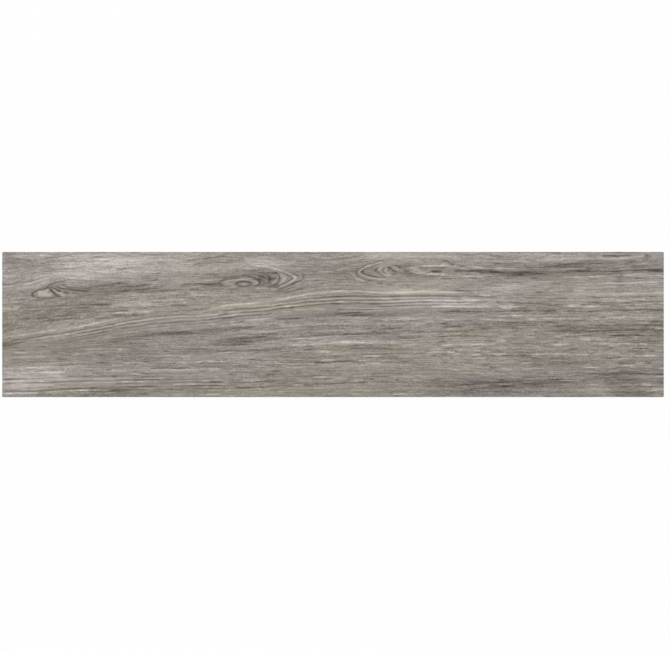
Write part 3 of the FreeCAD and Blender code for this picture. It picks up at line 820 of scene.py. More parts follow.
SPREAD = (
    Strokes(-36, 1.3, (
        (411, 83.6, 424), (603, 76.6, 610, 76.4), (603, 83.4, 613, 83.2), (607, 90.3, 622), (608, 67, 622),
        (628, 180.4, 638, 179.3), (706, 122.8, 720, 122.6), (729, 163.6, 741, 163.3),
        (757, 97.5, 776, 97.3), (759, 136, 779), (771, 83.5, 792, 83.4), (792, 173.5, 808, 173.3),
        (802, 130.3, 826, 130.2), (827, 91.6, 842, 91.4), (845, 173, 855), (847, 138.6, 885, 138.4),
        (850, 118.9, 872, 118.8), (866, 131.9, 886, 131.6), (877, 67, 892), (885, 120.6, 912, 120.4),
        (900, 91.8, 912, 91.7),
    )),
    Strokes(-36, 2.4, ((617, 182.4, 624, 182.2),)),
    Strokes(-32, 1.3, (
        (118, 85.5, 130, 87.8, 140, 89.5, 150, 91.5), (150, 28.3, 172, 28.8), (362, 21.6, 376),
        (362, 43.5, 376), (431, 47.7, 448), (448, 189, 460, 190.6, 485, 192.7), (470, 86.5, 497, 86.6),
        (493, 20.4, 505), (574, 178, 590), (616, 63.6, 628, 63.9), (620, 90.4, 632, 90.3),
        (653, 171.8, 666, 171.2), (660, 45, 671), (665, 137.8, 681, 137.6), (670, 40.7, 688, 40.6),
        (670, 193.9, 688, 193.6), (672, 173.2, 687, 172.8), (673, 145.8, 686, 145), (686, 21, 700),
        (694, 102.8, 712, 102.7), (696, 73.9, 734), (714, 27, 736), (725, 178.2, 736, 178.4),
        (745, 1.6, 756, 1.4), (776, 118.2, 789, 119), (808, 118.1, 828, 118.2), (820, 31.2, 836, 31),
        (830, 185.4, 847, 185.7), (838, 84.7, 866, 84.8), (870, 85.2, 884, 85), (870, 120.5, 884, 120),
        (880, 98.6, 912, 98.7), (895, 104.3, 905, 104.5), (896, 31.2, 912),
    )),
    Strokes(-32, 2.4, (
        (150, 111.5, 170, 112, 190, 112.8, 200, 113), (649, 20, 664, 20.6), (757, 199, 770),
        (883, 47.6, 896, 47.4),
    )),
    Strokes(-26, 1.3, (
        (0, 18.8, 20), (0, 24.3, 20), (0, 155.5, 6, 155), (130, 125.5, 150, 126),
        (180, 23.5, 200, 24.3, 222, 24.5), (341, 51.7, 360, 52), (355, 13.4, 368),
        (405, 148.2, 415, 148.5), (455, 19, 471), (455, 40.7, 465), (472, 148, 490), (603, 58.6, 614),
        (603, 101.6, 614, 101.5), (603, 148.2, 613, 148), (603, 178.3, 610, 178), (603, 188.6, 612, 188),
        (605, 163.5, 617), (638, 67, 648, 66.4), (640, 118, 660), (680, 117.9, 696, 117.6),
        (684, 24.3, 696), (693, 192.4, 703), (697, 119.3, 705, 118.7), (698, 130.4, 712, 130.2),
        (703, 169.1, 716, 168.8), (716, 118.3, 728, 118), (748, 102.8, 768, 102.7),
        (750, 179.3, 764, 179.8), (752, 126.2, 768, 126), (774, 182, 800, 183.4), (778, 65.5, 792, 66),
        (783, 88.3, 796, 88.4), (798, 32.6, 822, 32.4), (802, 138.6, 820, 138.5), (808, 44.2, 822, 44),
        (808, 183.9, 826, 184.1), (824, 53.6, 842), (826, 119.6, 844, 119.4), (836, 68, 848),
        (838, 176.5, 852, 176.3), (840, 193.6, 850), (842, 159, 854), (843, 3, 853, 2.5),
        (845, 40.4, 862, 40.6), (845, 199, 855), (858, 164.6, 878, 164.3), (868, 67, 880),
        (883, 194, 893, 193.8), (885, 98.6, 912),
    )),
    Strokes(-26, 2.4, ((603, 95.8, 616, 96), (678, 63.2, 692, 63), (856, 187, 872, 186.8))),
    Strokes(-21, 1.3, (
        (45, 3.5, 70, 3.8), (52, 172.5, 62, 173.3, 72, 174.5, 85, 176.2, 100, 178, 118, 178.6),
        (70, 142, 76, 139.5, 82, 137), (320, 13.3, 342), (320, 188.3, 335, 188.6), (325, 42.3, 340),
        (357, 65.7, 370), (360, 79.5, 371), (415, 77.7, 433, 77.8, 445, 79.4), (448, 97, 460),
        (475, 27, 490), (545, 80.6, 570), (575, 166.5, 590), (598, 83.5, 612), (600, 76.8, 609),
        (603, 13.6, 610), (603, 47, 614), (603, 68, 611), (612, 84, 645, 83.8), (614, 97, 640),
        (615, 148.2, 630), (624, 130.3, 642, 130.5), (628, 117, 645), (637, 105.3, 648, 105.5),
        (640, 173, 650, 172.5), (642, 164, 655, 163.8), (644, 10.7, 656), (662, 153.7, 683),
        (676, 184.2, 694, 183.8), (698, 21.3, 718, 21.4), (700, 90.5, 712), (704, 57.2, 728),
        (704, 86.3, 714), (718, 136.3, 735, 136.2), (728, 44.4, 748, 44.2), (728, 144.4, 742, 144.2),
        (728, 172.2, 738, 172), (730, 18, 745, 17.5), (732, 73.8, 752), (738, 28, 762, 28.5),
        (738, 178, 755, 178.6), (740, 128.8, 756, 128.6), (750, 24.2, 768, 24), (750, 119.1, 766, 119),
        (752, 46.3, 768, 46.5), (754, 156, 764, 156.3), (756, 76, 764, 75.6), (806, 90.4, 815),
        (812, 175, 822), (815, 98.6, 835), (818, 169.2, 842, 169), (826, 66, 838), (828, 22.6, 842, 22.4),
        (838, 171.2, 848, 170.8), (840, 145, 856, 144.6), (844, 46.5, 850, 47), (850, 13.6, 862, 13.8),
        (850, 33.8, 862), (850, 153.7, 860), (876, 32, 890), (884, 6.5, 900, 6.6), (886, 138.8, 912, 139),
        (890, 85.4, 912),
    )),
    Strokes(-21, 2.4, ((140, 180, 158, 178.8),)),
    Strokes(-16, 1.3, (
        (8, 142, 15), (12, 68, 22, 69.5), (12, 188, 28, 188.3), (68, 154.5, 76, 157.5, 86, 158.8),
        (70, 20.5, 90, 21.3), (78, 43, 85, 42.5), (95, 190.8, 118), (140, 37.8, 152, 38),
        (150, 154.5, 165, 156.5), (155, 118, 175, 119.3), (160, 18.5, 190, 19), (170, 14.3, 190, 14.6),
        (175, 3.5, 200, 3.8), (180, 134, 200, 134.5, 225, 137), (195, 184, 210),
        (205, 39.8, 230, 40, 265, 40.5), (205, 87.5, 220, 86.5), (210, 54.5, 240, 54.7), (215, 68, 235),
        (235, 24, 260), (250, 186, 260, 186.3), (265, 21, 310, 20.8), (270, 35, 285, 35.5),
        (270, 155.5, 282, 155.8), (290, 50.5, 310, 50.8), (290, 71, 300), (298, 159.5, 310, 160.3),
        (340, 172.5, 365, 171.5), (365, 87, 380, 86.5), (390, 38, 420), (395, 76.5, 410, 76.7),
        (413, 69.8, 430), (414, 65.6, 430), (420, 24.3, 435), (428, 30, 442), (428, 160.3, 440, 162),
        (470, 49.3, 487), (475, 71, 495), (495, 58.5, 510), (513, 21.3, 525), (533, 169.3, 545),
        (575, 82.5, 585), (590, 178.5, 612), (620, 146.6, 636, 146.5), (630, 43.4, 638),
        (645, 83.8, 690, 83.6), (650, 138.8, 662, 138.6), (656, 66.5, 670, 66.3), (664, 77, 680, 76.6),
        (670, 63.2, 680, 63), (712, 48.9, 735, 49.2), (735, 137.4, 750, 137.3), (735, 169.4, 760, 169.6),
        (762, 180.8, 780, 181.4), (780, 97.2, 796), (792, 84.2, 812, 84.4), (800, 188.6, 830, 188.2),
        (808, 51, 816), (812, 61.8, 822, 61.6), (824, 138.2, 845),
    )),
    Strokes(16, 1.3, (
        (0, 21.5, 25, 22), (0, 38, 20), (5, 157.5, 20, 160, 30, 161.5), (10, 47.8, 20), (25, 61, 38, 61.5),
        (30, 40, 60, 39.5), (50, 71, 65, 71.5), (75, 130.5, 88, 130.8), (85, 178.5, 98, 178.8),
        (85, 193.5, 100, 193), (90, 42, 115, 43), (92, 145, 105, 144.8), (95, 57, 105, 58.5),
        (110, 78, 130, 79, 150, 80.5, 160, 82), (130, 131, 143, 132), (150, 55, 165, 57.5),
        (150, 124.5, 170, 125.5), (168, 88, 180, 90.5, 190, 91.5), (190, 116.5, 210, 118.5),
        (205, 56.8, 240, 57.3, 265, 57), (205, 69.3, 240, 69.5), (205, 90.5, 235, 93),
        (225, 189, 235, 189.5), (230, 135, 260, 135.5), (250, 191.5, 262, 191), (270, 22.5, 290, 23),
        (300, 125, 310, 126), (346, 193, 384), (390, 84, 410, 85), (415, 101.5, 440), (430, 193.5, 450),
        (450, 145, 500), (480, 21.3, 492, 21.4), (549, 108.8, 560), (550, 144.8, 605, 145),
        (575, 86.5, 592), (575, 102.8, 595), (615, 37, 635, 38.3), (620, 54.5, 628, 54.4),
        (625, 124.6, 660, 124.7), (640, 132.3, 655, 132.6), (676, 38.7, 700, 39), (684, 111.2, 700, 111.4),
        (700, 42, 714, 42.5), (720, 11.4, 732, 11), (722, 124.3, 735, 124), (726, 155.2, 740, 155.8),
        (730, 184, 750, 185.5), (740, 104.6, 755, 104.8), (745, 108.8, 762), (755, 195, 775),
        (770, 86, 792, 86.2), (808, 9.5, 814), (820, 166.3, 840, 166.4), (825, 156.7, 842, 157.2),
        (828, 115.3, 840, 115), (845, 133.3, 858), (880, 153.8, 905), (884, 38, 892),
    )),
    Strokes(16, 2.4, ((806, 107.6, 822, 107.8), (808, 18, 822, 18.5))),
    Strokes(21, 1.3, (
        (0, 139, 12, 138.5), (30, 161, 40, 163.5, 50, 165.5, 62, 168), (60, 147, 66, 146.8),
        (140, 6, 160, 7.5, 185, 8), (150, 108, 162, 108.5), (155, 36, 185, 37.8, 215, 38.2, 245, 37.5,
         275, 38.5, 310, 39), (235, 17.5, 310, 17.6), (270, 3.8, 300), (304, 61.5, 320, 61.6),
        (333, 17.5, 342), (333, 177, 343, 177.3), (335, 89.5, 355, 89.5, 370, 90.5, 380, 91.5),
        (341, 67.5, 357), (380, 7.5, 387), (390, 125, 410, 126.5), (395, 80, 420, 81, 440, 82, 455, 83.5,
         470, 83.6), (396, 17.4, 415, 17.5), (402, 63.5, 415, 63.3), (402, 155.8, 411, 158),
        (436, 62.5, 452), (453, 46.4, 470, 46.5), (490, 90, 510, 90.2), (494, 29.8, 509),
        (513, 189, 530, 191.3), (545, 56, 577), (608, 82, 634, 82.1), (648, 63.7, 658),
        (657, 73.3, 682, 73), (660, 99.4, 680, 99.5), (665, 106.7, 695, 106.6), (675, 142.4, 692, 142),
        (680, 52.3, 695, 52), (680, 67.3, 693, 67.4), (688, 131.5, 700), (697, 18.8, 712, 19),
        (706, 14.8, 730), (728, 92.8, 750, 92.9), (729, 68.7, 744), (738, 157.9, 762, 158.2),
        (745, 189.2, 770, 189.3), (760, 70.7, 772), (760, 104.8, 772, 104.6), (776, 127.5, 796, 127.2),
        (788, 146.8, 800, 146.4), (812, 60, 828, 60.1), (818, 79.3, 830, 78.8), (825, 135.8, 843, 135.6),
        (834, 43, 848, 43.8), (834, 163.3, 845), (835, 36.8, 850, 37), (836, 71, 850, 71.2),
        (838, 108.3, 856, 108.2), (850, 53, 862, 53.2), (872, 109.6, 912, 109.4), (885, 178.2, 912, 178.6),
        (888, 158, 905, 158.2),
    )),
    Strokes(21, 2.4, ((878, 183.5, 890, 184.8),)),
    Strokes(26, 1.3, (
        (50, 195, 72, 195.3), (58, 6.4, 72, 7.2, 82, 7.6, 90, 8.4, 100, 8.8, 122, 9.3), (78, 144, 86, 143),
        (155, 116, 175, 116.5), (160, 65, 175, 65.5), (240, 22.8, 265, 23.3),
        (245, 185.5, 255, 184.5, 262, 183.6), (265, 48, 280, 49.5, 290, 48.5), (265, 158, 278, 159,
         285, 160.5, 292, 161.5, 305, 163), (305, 126, 320, 127, 334, 128.2, 352, 130.6),
        (330, 23.2, 357, 23.3), (389, 41, 418), (457, 24.3, 478, 24.4), (547, 79.2, 570, 79.3),
        (562, 172, 575, 171, 590, 169.5, 612, 168.2), (575, 181, 612), (603, 106.8, 616),
        (603, 144.8, 614, 144.6), (603, 181.6, 612, 181.8), (608, 87.4, 634, 87.6), (613, 61.2, 622),
        (622, 58.9, 633), (632, 128.9, 646), (645, 53, 667, 53.2), (649, 178.4, 662, 178.5),
        (660, 124.8, 675), (663, 168.7, 674, 168.6), (668, 131.8, 680), (702, 125, 712), (706, 1.5, 712),
        (713, 46, 722, 46.6, 730, 47.6), (721, 87.7, 733, 87.4), (750, 174.8, 780, 176, 800, 177.8,
         810, 179.2), (770, 108.5, 802, 108.3), (772, 165, 796, 165.6), (772, 185, 780, 185.2, 795, 186.2),
        (774, 60, 792, 59.8), (774, 125.2, 790), (792, 58.6, 810, 58.8), (794, 79.3, 810),
        (813, 177.2, 828), (823, 73.5, 852, 73.6), (828, 1.5, 835, 1), (828, 3.8, 848), (832, 86.8, 850),
        (843, 179.8, 862, 180.2), (850, 73.8, 868), (855, 43.2, 872, 42.8), (866, 169.4, 890, 169.5),
        (872, 102.5, 892), (884, 57.2, 903), (886, 61.3, 900, 61.2), (892, 125.6, 912), (896, 28, 912),
        (898, 64, 908), (899, 144.2, 912, 144.4), (900, 10.4, 912, 11), (900, 39.6, 912, 39.8),
    )),
    Strokes(26, 2.4, (
        (679, 176.6, 690, 176.2), (682, 77.5, 696, 78.2), (722, 107.6, 738, 107.3), (865, 81.9, 878, 82),
        (880, 17, 895, 17.3),
    )),
    Strokes(32, 1.3, (
        (375, 134.5, 390, 136, 400, 138, 410, 139.8, 420, 142, 432, 143), (433, 172.5, 460, 172.8),
        (439, 51, 457), (538, 4.6, 556), (590, 124.6, 610), (603, 71.2, 617, 71.3),
        (603, 168.8, 615, 168.3), (610, 92.9, 635, 93.2), (611, 144.3, 635, 144.2), (628, 14.4, 642, 14.6),
        (642, 15.4, 655, 16, 672, 16.8), (643, 72.4, 658, 72.6), (645, 170.8, 660, 170.4),
        (658, 139.9, 674, 140.2), (674, 59.6, 694, 59.3), (685, 17.4, 698, 18), (688, 122.6, 702, 123.3),
        (703, 112, 715, 112.9), (714, 131.9, 726, 131.6), (720, 81.9, 735, 82), (726, 58.7, 746),
        (764, 22.8, 788, 22.7), (788, 86.3, 812, 86.4), (800, 40.8, 825, 40.9), (802, 92.8, 832, 93.1),
        (806, 125.2, 822), (806, 165.6, 822, 165.9), (828, 60.2, 850), (830, 178, 846, 179),
        (848, 191.8, 862), (856, 168.5, 868, 167.5), (870, 117.6, 886, 118.3), (876, 73.8, 889),
        (886, 8, 902, 9.4),
    )),
    Strokes(32, 2.4, ((0, 4.6, 25, 5.6, 50, 6.2),)),
    Strokes(36, 1.3, (
        (428, 27, 447), (495, 56, 520), (603, 124.9, 622), (755, 72.5, 781, 72.7), (897, 94.4, 912, 94.6),
        (898, 167.8, 912, 167.6),
    )),
    Strokes(36, 2.4, ((686, 124.5, 702, 124.6),)),
)

PATCHES = tuple(
    TonePatch((x, y), half_length, half_width, tone)
    for x, y, half_length, half_width, tone in (
        (150, 184, 80, 17, 33), (65, 92, 50, 26, -3), (530, 176, 52, 15, 7), (366, 162, 18, 9, -9),
        (92, 166, 34, 9, 18), (30, 197, 60, 6, 9), (240, 197, 70, 7, 9),
        (265, 179, 60, 7, 9), (320, 180, 25, 4, 5), (245, 157, 35, 5, 6), (40, 154, 32, 5, 8),
        (3, 172, 12, 14, 18), (5, 123, 22, 8, 9), (90, 94, 65, 6, 15), (190, 130, 45, 10, 14),
        (280, 112, 45, 6, 7), (350, 124, 60, 9, 9), (395, 132, 25, 5, 6), (40, 31, 60, 8, 29),
        (30, 16, 55, 7, 24), (140, 24, 60, 6, 7), (362, 185, 40, 6, 25), (440, 188, 40, 7, 5),
        (520, 197, 55, 6, 20), (610, 194, 60, 7, 18), (740, 193, 60, 6, 22), (850, 194, 50, 6, 11),
        (900, 196, 14, 6, 15), (430, 75, 50, 5, 12), (485, 75.5, 45, 5, 13), (455, 62, 25, 4, 7),
        (575, 73, 30, 5, 9), (505, 41, 40, 9, 6), (640, 50, 60, 15, 4), (545, 146, 60, 7, 20),
        (550, 133, 50, 5, 14), (580, 159, 45, 5, 7), (620, 155, 30, 8, 6), (625, 131, 60, 6, 25),
        (670, 136, 45, 5, 7), (700, 149, 45, 9, 18), (565, 108, 55, 6, 12), (450, 103, 55, 4, 6),
        (865, 138, 85, 9, 22), (880, 158, 50, 7, 10), (800, 150, 45, 10, 8), (850, 110, 50, 6, 12),
        (650, 72, 55, 8, 11), (800, 80, 40, 7, 12), (820, 9, 25, 6, 12), (902, 8, 22, 6, 15),
        (320, 54, 60, 6, 7), (360, 8, 35, 5, 5), (25, 182, 40, 8, -6), (10, 190, 9, 6, -25),
        (112, 146, 60, 5, -15), (68, 152, 22, 5, -10), (65, 136, 42, 4, -9), (145, 155, 30, 5, -7),
        (180, 149, 45, 6, -14), (70, 115, 62, 9, -20), (155, 129, 25, 5, -6), (0, 71, 22, 6, -25),
        (5, 97, 20, 6, -8), (58, 86, 32, 4, -6), (80, 66, 60, 9, -9), (158, 75, 30, 5, -8),
        (225, 87, 90, 6, -16), (298, 92, 22, 4, -8), (325, 76, 32, 5, -27), (265, 65, 26, 4, -13),
        (352, 82, 18, 4, -11), (378, 67, 25, 5, -6), (180, 58, 62, 12, -11), (352, 165, 20, 6, -14),
        (302, 155, 36, 8, -17), (376, 153, 20, 4, -10), (160, 7, 28, 7, -23), (115, 1, 25, 4, -10),
        (270, 12, 60, 6, -7), (215, 12, 30, 5, -6), (490, 172, 30, 6, -12), (440, 174, 45, 9, -8),
        (335, 196, 20, 5, -8), (540, 173, 22, 5, -7), (500, 153, 28, 5, -6), (705, 170, 38, 5, -18),
        (740, 169, 70, 6, -8), (640, 173, 28, 4, -9), (800, 179, 60, 5, -16), (815, 170, 60, 5, -8),
        (850, 168, 14, 8, -10), (900, 176, 30, 5, -14), (535, 113, 30, 4, -10), (605, 115, 50, 4, -7),
        (640, 121, 30, 4, -5), (745, 117, 25, 4, -7), (525, 93, 25, 6, -12), (870, 92, 50, 7, -16),
        (790, 93, 40, 5, -11), (885, 78, 25, 5, -9), (775, 47, 35, 5, -9), (575, 43, 28, 5, -6),
        (415, 30, 45, 9, -5), (690, 16, 90, 8, -27), (625, 5, 45, 6, -13), (775, 23, 36, 5, -17),
        (855, 29, 32, 8, -25), (850, 16, 25, 5, -11), (908, 18, 20, 12, -12), (510, 66, 55, 5, -9),
        (720, 60, 22, 9, -9), (440, 50, 35, 6, -6), (700, 98, 60, 5, -13), (455, 114, 60, 4, -12),
        (875, 5, 36, 4, -29), (790, 1, 25, 4, -10),
    )
)

# Warm and cool grounds of the print: place of the middle, half length and half width, in millimetres.

WARM_GROUNDS = (
    (20, 92, 60, 34), (70, 85, 60, 32), (120, 100, 50, 26), (165, 105, 40, 18), (120, 138, 60, 12),
    (175, 140, 40, 9),
    (75, 10, 40, 12), (215, 128, 50, 13), (260, 135, 40, 18), (285, 165, 38, 34), (300, 195, 40, 16),
    (330, 135, 50, 13),
    (400, 130, 50, 12), (470, 145, 50, 13), (520, 170, 70, 30), (560, 185, 50, 20), (575, 155, 45, 14),
    (240, 8, 80, 9),
    (330, 10, 50, 10), (400, 28, 45, 24), (450, 40, 60, 30), (510, 30, 80, 26), (570, 45, 55, 28),
    (620, 65, 50, 20),
    (660, 75, 50, 20), (680, 45, 50, 9), (720, 75, 50, 26), (760, 95, 45, 40), (790, 125, 38, 32),
    (830, 75, 60, 30),
    (880, 85, 45, 30), (885, 140, 35, 12), (850, 8, 70, 9), (795, 158, 30, 12),
)
COOL_GROUNDS = ((150, 123, 26, 7), (525, 46, 26, 7), (688, 65, 26, 8), (845, 84, 20, 7), (905, 65, 16, 8))

# Where the fine streaks hold back, for the knots and the long rings, with the same four sizes.

CALM_ZONES = (
    (66, 146, 26, 11), (332, 159, 28, 9), (384, 161, 28, 11), (396, 150, 26, 6), (515, 173, 30, 11),
    (550, 176, 20, 8), (20, 82, 50, 5), (90, 91, 50, 7), (165, 101, 50, 8), (240, 106, 55, 9),
    (320, 112, 55, 10), (400, 122, 55, 11), (480, 126, 55, 12), (560, 127, 55, 12), (90, 20, 90, 8),
    (230, 20, 80, 8),
)


@dataclass
class Print:
    """The printed grain: its flow, its strokes and its soft patches, as tones over the face."""

    flow: GrainFlow = FLOW
    strokes: tuple[Strokes, ...] = KNOT_LEFT + KNOT_MIDDLE + CATHEDRAL + RINGS + STREAKS + CRACKS + SPREAD
    patches: tuple[TonePatch, ...] = PATCHES
    ink_limit: float = 62.0
    warm_most: float = 1.3
    zone_calm: float = 0.55
    zone_calm_most: float = 0.6
    flat_calm: float = 0.8
    flat_rise: float = 0.45
    full_ink: float = 50.0
    press_ground: float = 0.05
    press_swing: float = 0.03
    press_stroke: float = 0.14

    def ink(self, x: np.ndarray, y: np.ndarray) -> np.ndarray:
        """Sum of the strokes at each place, in levels of 255.

        Args:
            x: distances from the left end, in millimetres.
            y: distances from the near edge, in millimetres.

        Returns:
            Levels of 255, eased so that crossing strokes don't burn out.
        """
        total = np.zeros_like(x)
        for group in self.strokes:
            total += group.ink(x, y, self.flow)
        return self.ink_limit * np.tanh(total / self.ink_limit)

    def tone(self, x: np.ndarray, y: np.ndarray) -> np.ndarray:
        """Sum of the soft patches at each place.

        Args:
            x: distances from the left end, in millimetres.
            y: distances from the near edge, in millimetres.

        Returns:
            Levels of 255 for each place.
        """
        total = np.zeros_like(x)
        for patch in self.patches:
            total += patch.shade(x, y, self.flow)
        return total

    def warmth(self, x: np.ndarray, y: np.ndarray) -> np.ndarray:
        """Share of the warm olive ground at each place; the rest is the cooler mauve one.

        Args:
            x: distances from the left end, in millimetres.
            y: distances from the near edge, in millimetres.

        Returns:
            Shares from 0 to 1.
        """
        total = np.zeros_like(x)
        for grounds, share in ((WARM_GROUNDS, self.warm_most), (COOL_GROUNDS, -1.0)):
            for ground in grounds:
                total = np.clip(total + share * hill(x, y, ground), 0.0, self.warm_most)
        return smooth(total)

    def calm(self, x: np.ndarray, y: np.ndarray) -> np.ndarray:
        """How far the fine streaks hold back, in the calm zones and where the rings lie flat.

        Args:
            x: distances from the left end, in millimetres.
            y: distances from the near edge, in millimetres.

        Returns:
            A share from 0 to 1 for each place.
        """
        total = np.zeros_like(x)
        for zone in CALM_ZONES:
            total += hill(x, y, zone)
        rise = np.abs(self.flow.rings_at(x, y + 0.5) - self.flow.rings_at(x, y - 0.5))
        in_zones = np.clip(self.zone_calm * total, 0.0, self.zone_calm_most)
        return np.maximum(in_zones, self.flat_calm * (1.0 - smooth(rise / self.flat_rise)))

    def relief(self, x: np.ndarray, y: np.ndarray, ink: np.ndarray) -> np.ndarray:
        """Depth of the pressed grain below the face, deeper under the dark strokes.

        Args:
            x: distances from the left end, in millimetres.
            y: distances from the near edge, in millimetres.
            ink: sum of the strokes at each place.

        Returns:
            Depths in millimetres, none below zero.
        """
        rings = self.flow.rings_at(x, y)
        broad = Waver(seed=11, pitch=60.0, pitch_across=5.0).over(x, rings)
        fine = Waver(seed=23, pitch=26.0, pitch_across=1.9).over(x, rings)
        grooves = np.clip(-ink / self.full_ink, 0.0, 1.0)
        swing = self.press_swing * broad + self.press_swing * np.clip(fine, 0.0, 1.0)
        return self.press_ground + swing + self.press_stroke * grooves


class Value:
    """A number inside a material. Arithmetic on it adds the nodes that work it out."""

    def __init__(self, shading: "Shading", socket: bpy.types.NodeSocket) -> None:
        """Keeps the socket that carries the number, and the shading that it belongs to."""
        self.shading = shading
        self.socket = socket

    def __add__(self, other: "Value | float") -> "Value":
        """This number plus another."""
        return self.shading.maths("ADD", self, other)

    def __radd__(self, other: float) -> "Value":
        """A plain number plus this one."""
        return self.shading.maths("ADD", other, self)

    def __sub__(self, other: "Value | float") -> "Value":
        """This number less another."""
        return self.shading.maths("SUBTRACT", self, other)

    def __rsub__(self, other: float) -> "Value":
        """A plain number less this one."""
        return self.shading.maths("SUBTRACT", other, self)

    def __mul__(self, other: "Value | float") -> "Value":
        """This number times another."""
        return self.shading.maths("MULTIPLY", self, other)

    def __rmul__(self, other: float) -> "Value":
        """A plain number times this one."""
        return self.shading.maths("MULTIPLY", other, self)

    def __truediv__(self, other: "Value | float") -> "Value":
        """This number over another."""
        return self.shading.maths("DIVIDE", self, other)

    def between(self, low: float, high: float) -> "Value":
        """A share that eases from 0 at low to 1 at high."""
        limits = {"From Min": low, "From Max": high, "Value": self}
        return self.shading.value("ShaderNodeMapRange", {"interpolation_type": "SMOOTHSTEP"}, limits)


class Shading:
    """The nodes of one material."""

    def __init__(self, name: str) -> None:
        """Starts a material with no nodes.

        Args:
            name: name of the material.
        """
        self.material = bpy.data.materials.new(name)
        self.material.use_nodes = True
        self.tree = self.material.node_tree
        self.tree.nodes.clear()

    def node(self, kind: str, settings: dict | None = None, values: dict | None = None) -> bpy.types.Node:
        """Adds a node.

        Args:
            kind: Blender's name of the node type.
            settings: the node's own settings, set first; "stops" holds a ramp's places and colours.
            values: numbers, colours, sockets or Values for its inputs, by name or number.

        Returns:
            The new node.
        """
        made = self.tree.nodes.new(kind)
        for key, setting in (settings or {}).items():
            if key == "stops":
                self._set_stops(made, setting)
            else:
                setattr(made, key, setting)
        for key, value in (values or {}).items():
            plug = value.socket if isinstance(value, Value) else value
            if isinstance(plug, bpy.types.NodeSocket):
                self.tree.links.new(plug, made.inputs[key])
            else:
                made.inputs[key].default_value = plug
        return made

    def _set_stops(self, ramp: bpy.types.Node, stops: tuple) -> None:
        """Gives a colour ramp its stops.

        Args:
            ramp: the ramp's node.
            stops: pairs of a place from 0 to 1 and a colour, from low to high.
        """
        elements = ramp.color_ramp.elements
        while len(elements) < len(stops):
            elements.new(1.0)
        for element, (place, shade) in zip(elements, stops):
            element.position = place
            element.color = shade

    def value(
        self, kind: str, settings: dict | None = None, values: dict | None = None, output: int = 0
    ) -> Value:
        """Adds a node and gives one of its outputs.

        Args:
            kind: Blender's name of the node type.
            settings: the node's own settings.
            values: what its inputs take.
            output: number of the output that is wanted.

        Returns:
            That output.
        """
        return Value(self, self.node(kind, settings, values).outputs[output])

    def maths(self, operation: str, first: "Value | float", second: "Value | float") -> Value:
        """Adds one step of arithmetic on two numbers."""
        return self.value("ShaderNodeMath", {"operation": operation}, {0: first, 1: second})

    def attribute(self, name: str, output: int = 2) -> Value:
        """Reads an attribute of the mesh: its number, or its vector as output 1."""
        return self.value("ShaderNodeAttribute", {"attribute_name": name}, output=output)

    def stretched(self, vector: Value, scale: tuple, shift: tuple = (0.0, 0.0, 0.0)) -> Value:
        """Scales a vector along its axes and shifts it."""
        settings = {"operation": "MULTIPLY_ADD"}
        return self.value("ShaderNodeVectorMath", settings, {0: vector, 1: scale, 2: shift})

    def noise(self, vector: Value, detail: float = 0.0, roughness: float = 0.5) -> Value:
        """Noise with features of about one unit, centred on zero, from about -1 to 1.

        Args:
            vector: where it is read.
            detail: number of finer layers.
            roughness: share of each finer layer.

        Returns:
            The noise.
        """
        values = {"Vector": vector, "Scale": 1.0, "Detail": detail, "Roughness": roughness}
        plain = self.value("ShaderNodeTexNoise", {"noise_dimensions": "3D", "normalize": True}, values)
        return (plain - 0.5) * NOISE_GAIN

    def mix(self, share: "Value | float", first: object, second: object, blend: str = "MIX") -> Value:
        """Mixes two colours.

        Args:
            share: share of the second.
            first: a colour or a Value.
            second: a colour or a Value.
            blend: how they are mixed.

        Returns:
            The mixed colour.
        """
        settings = {"data_type": "RGBA", "blend_type": blend}
        return self.value("ShaderNodeMix", settings, {0: share, 6: first, 7: second}, output=2)


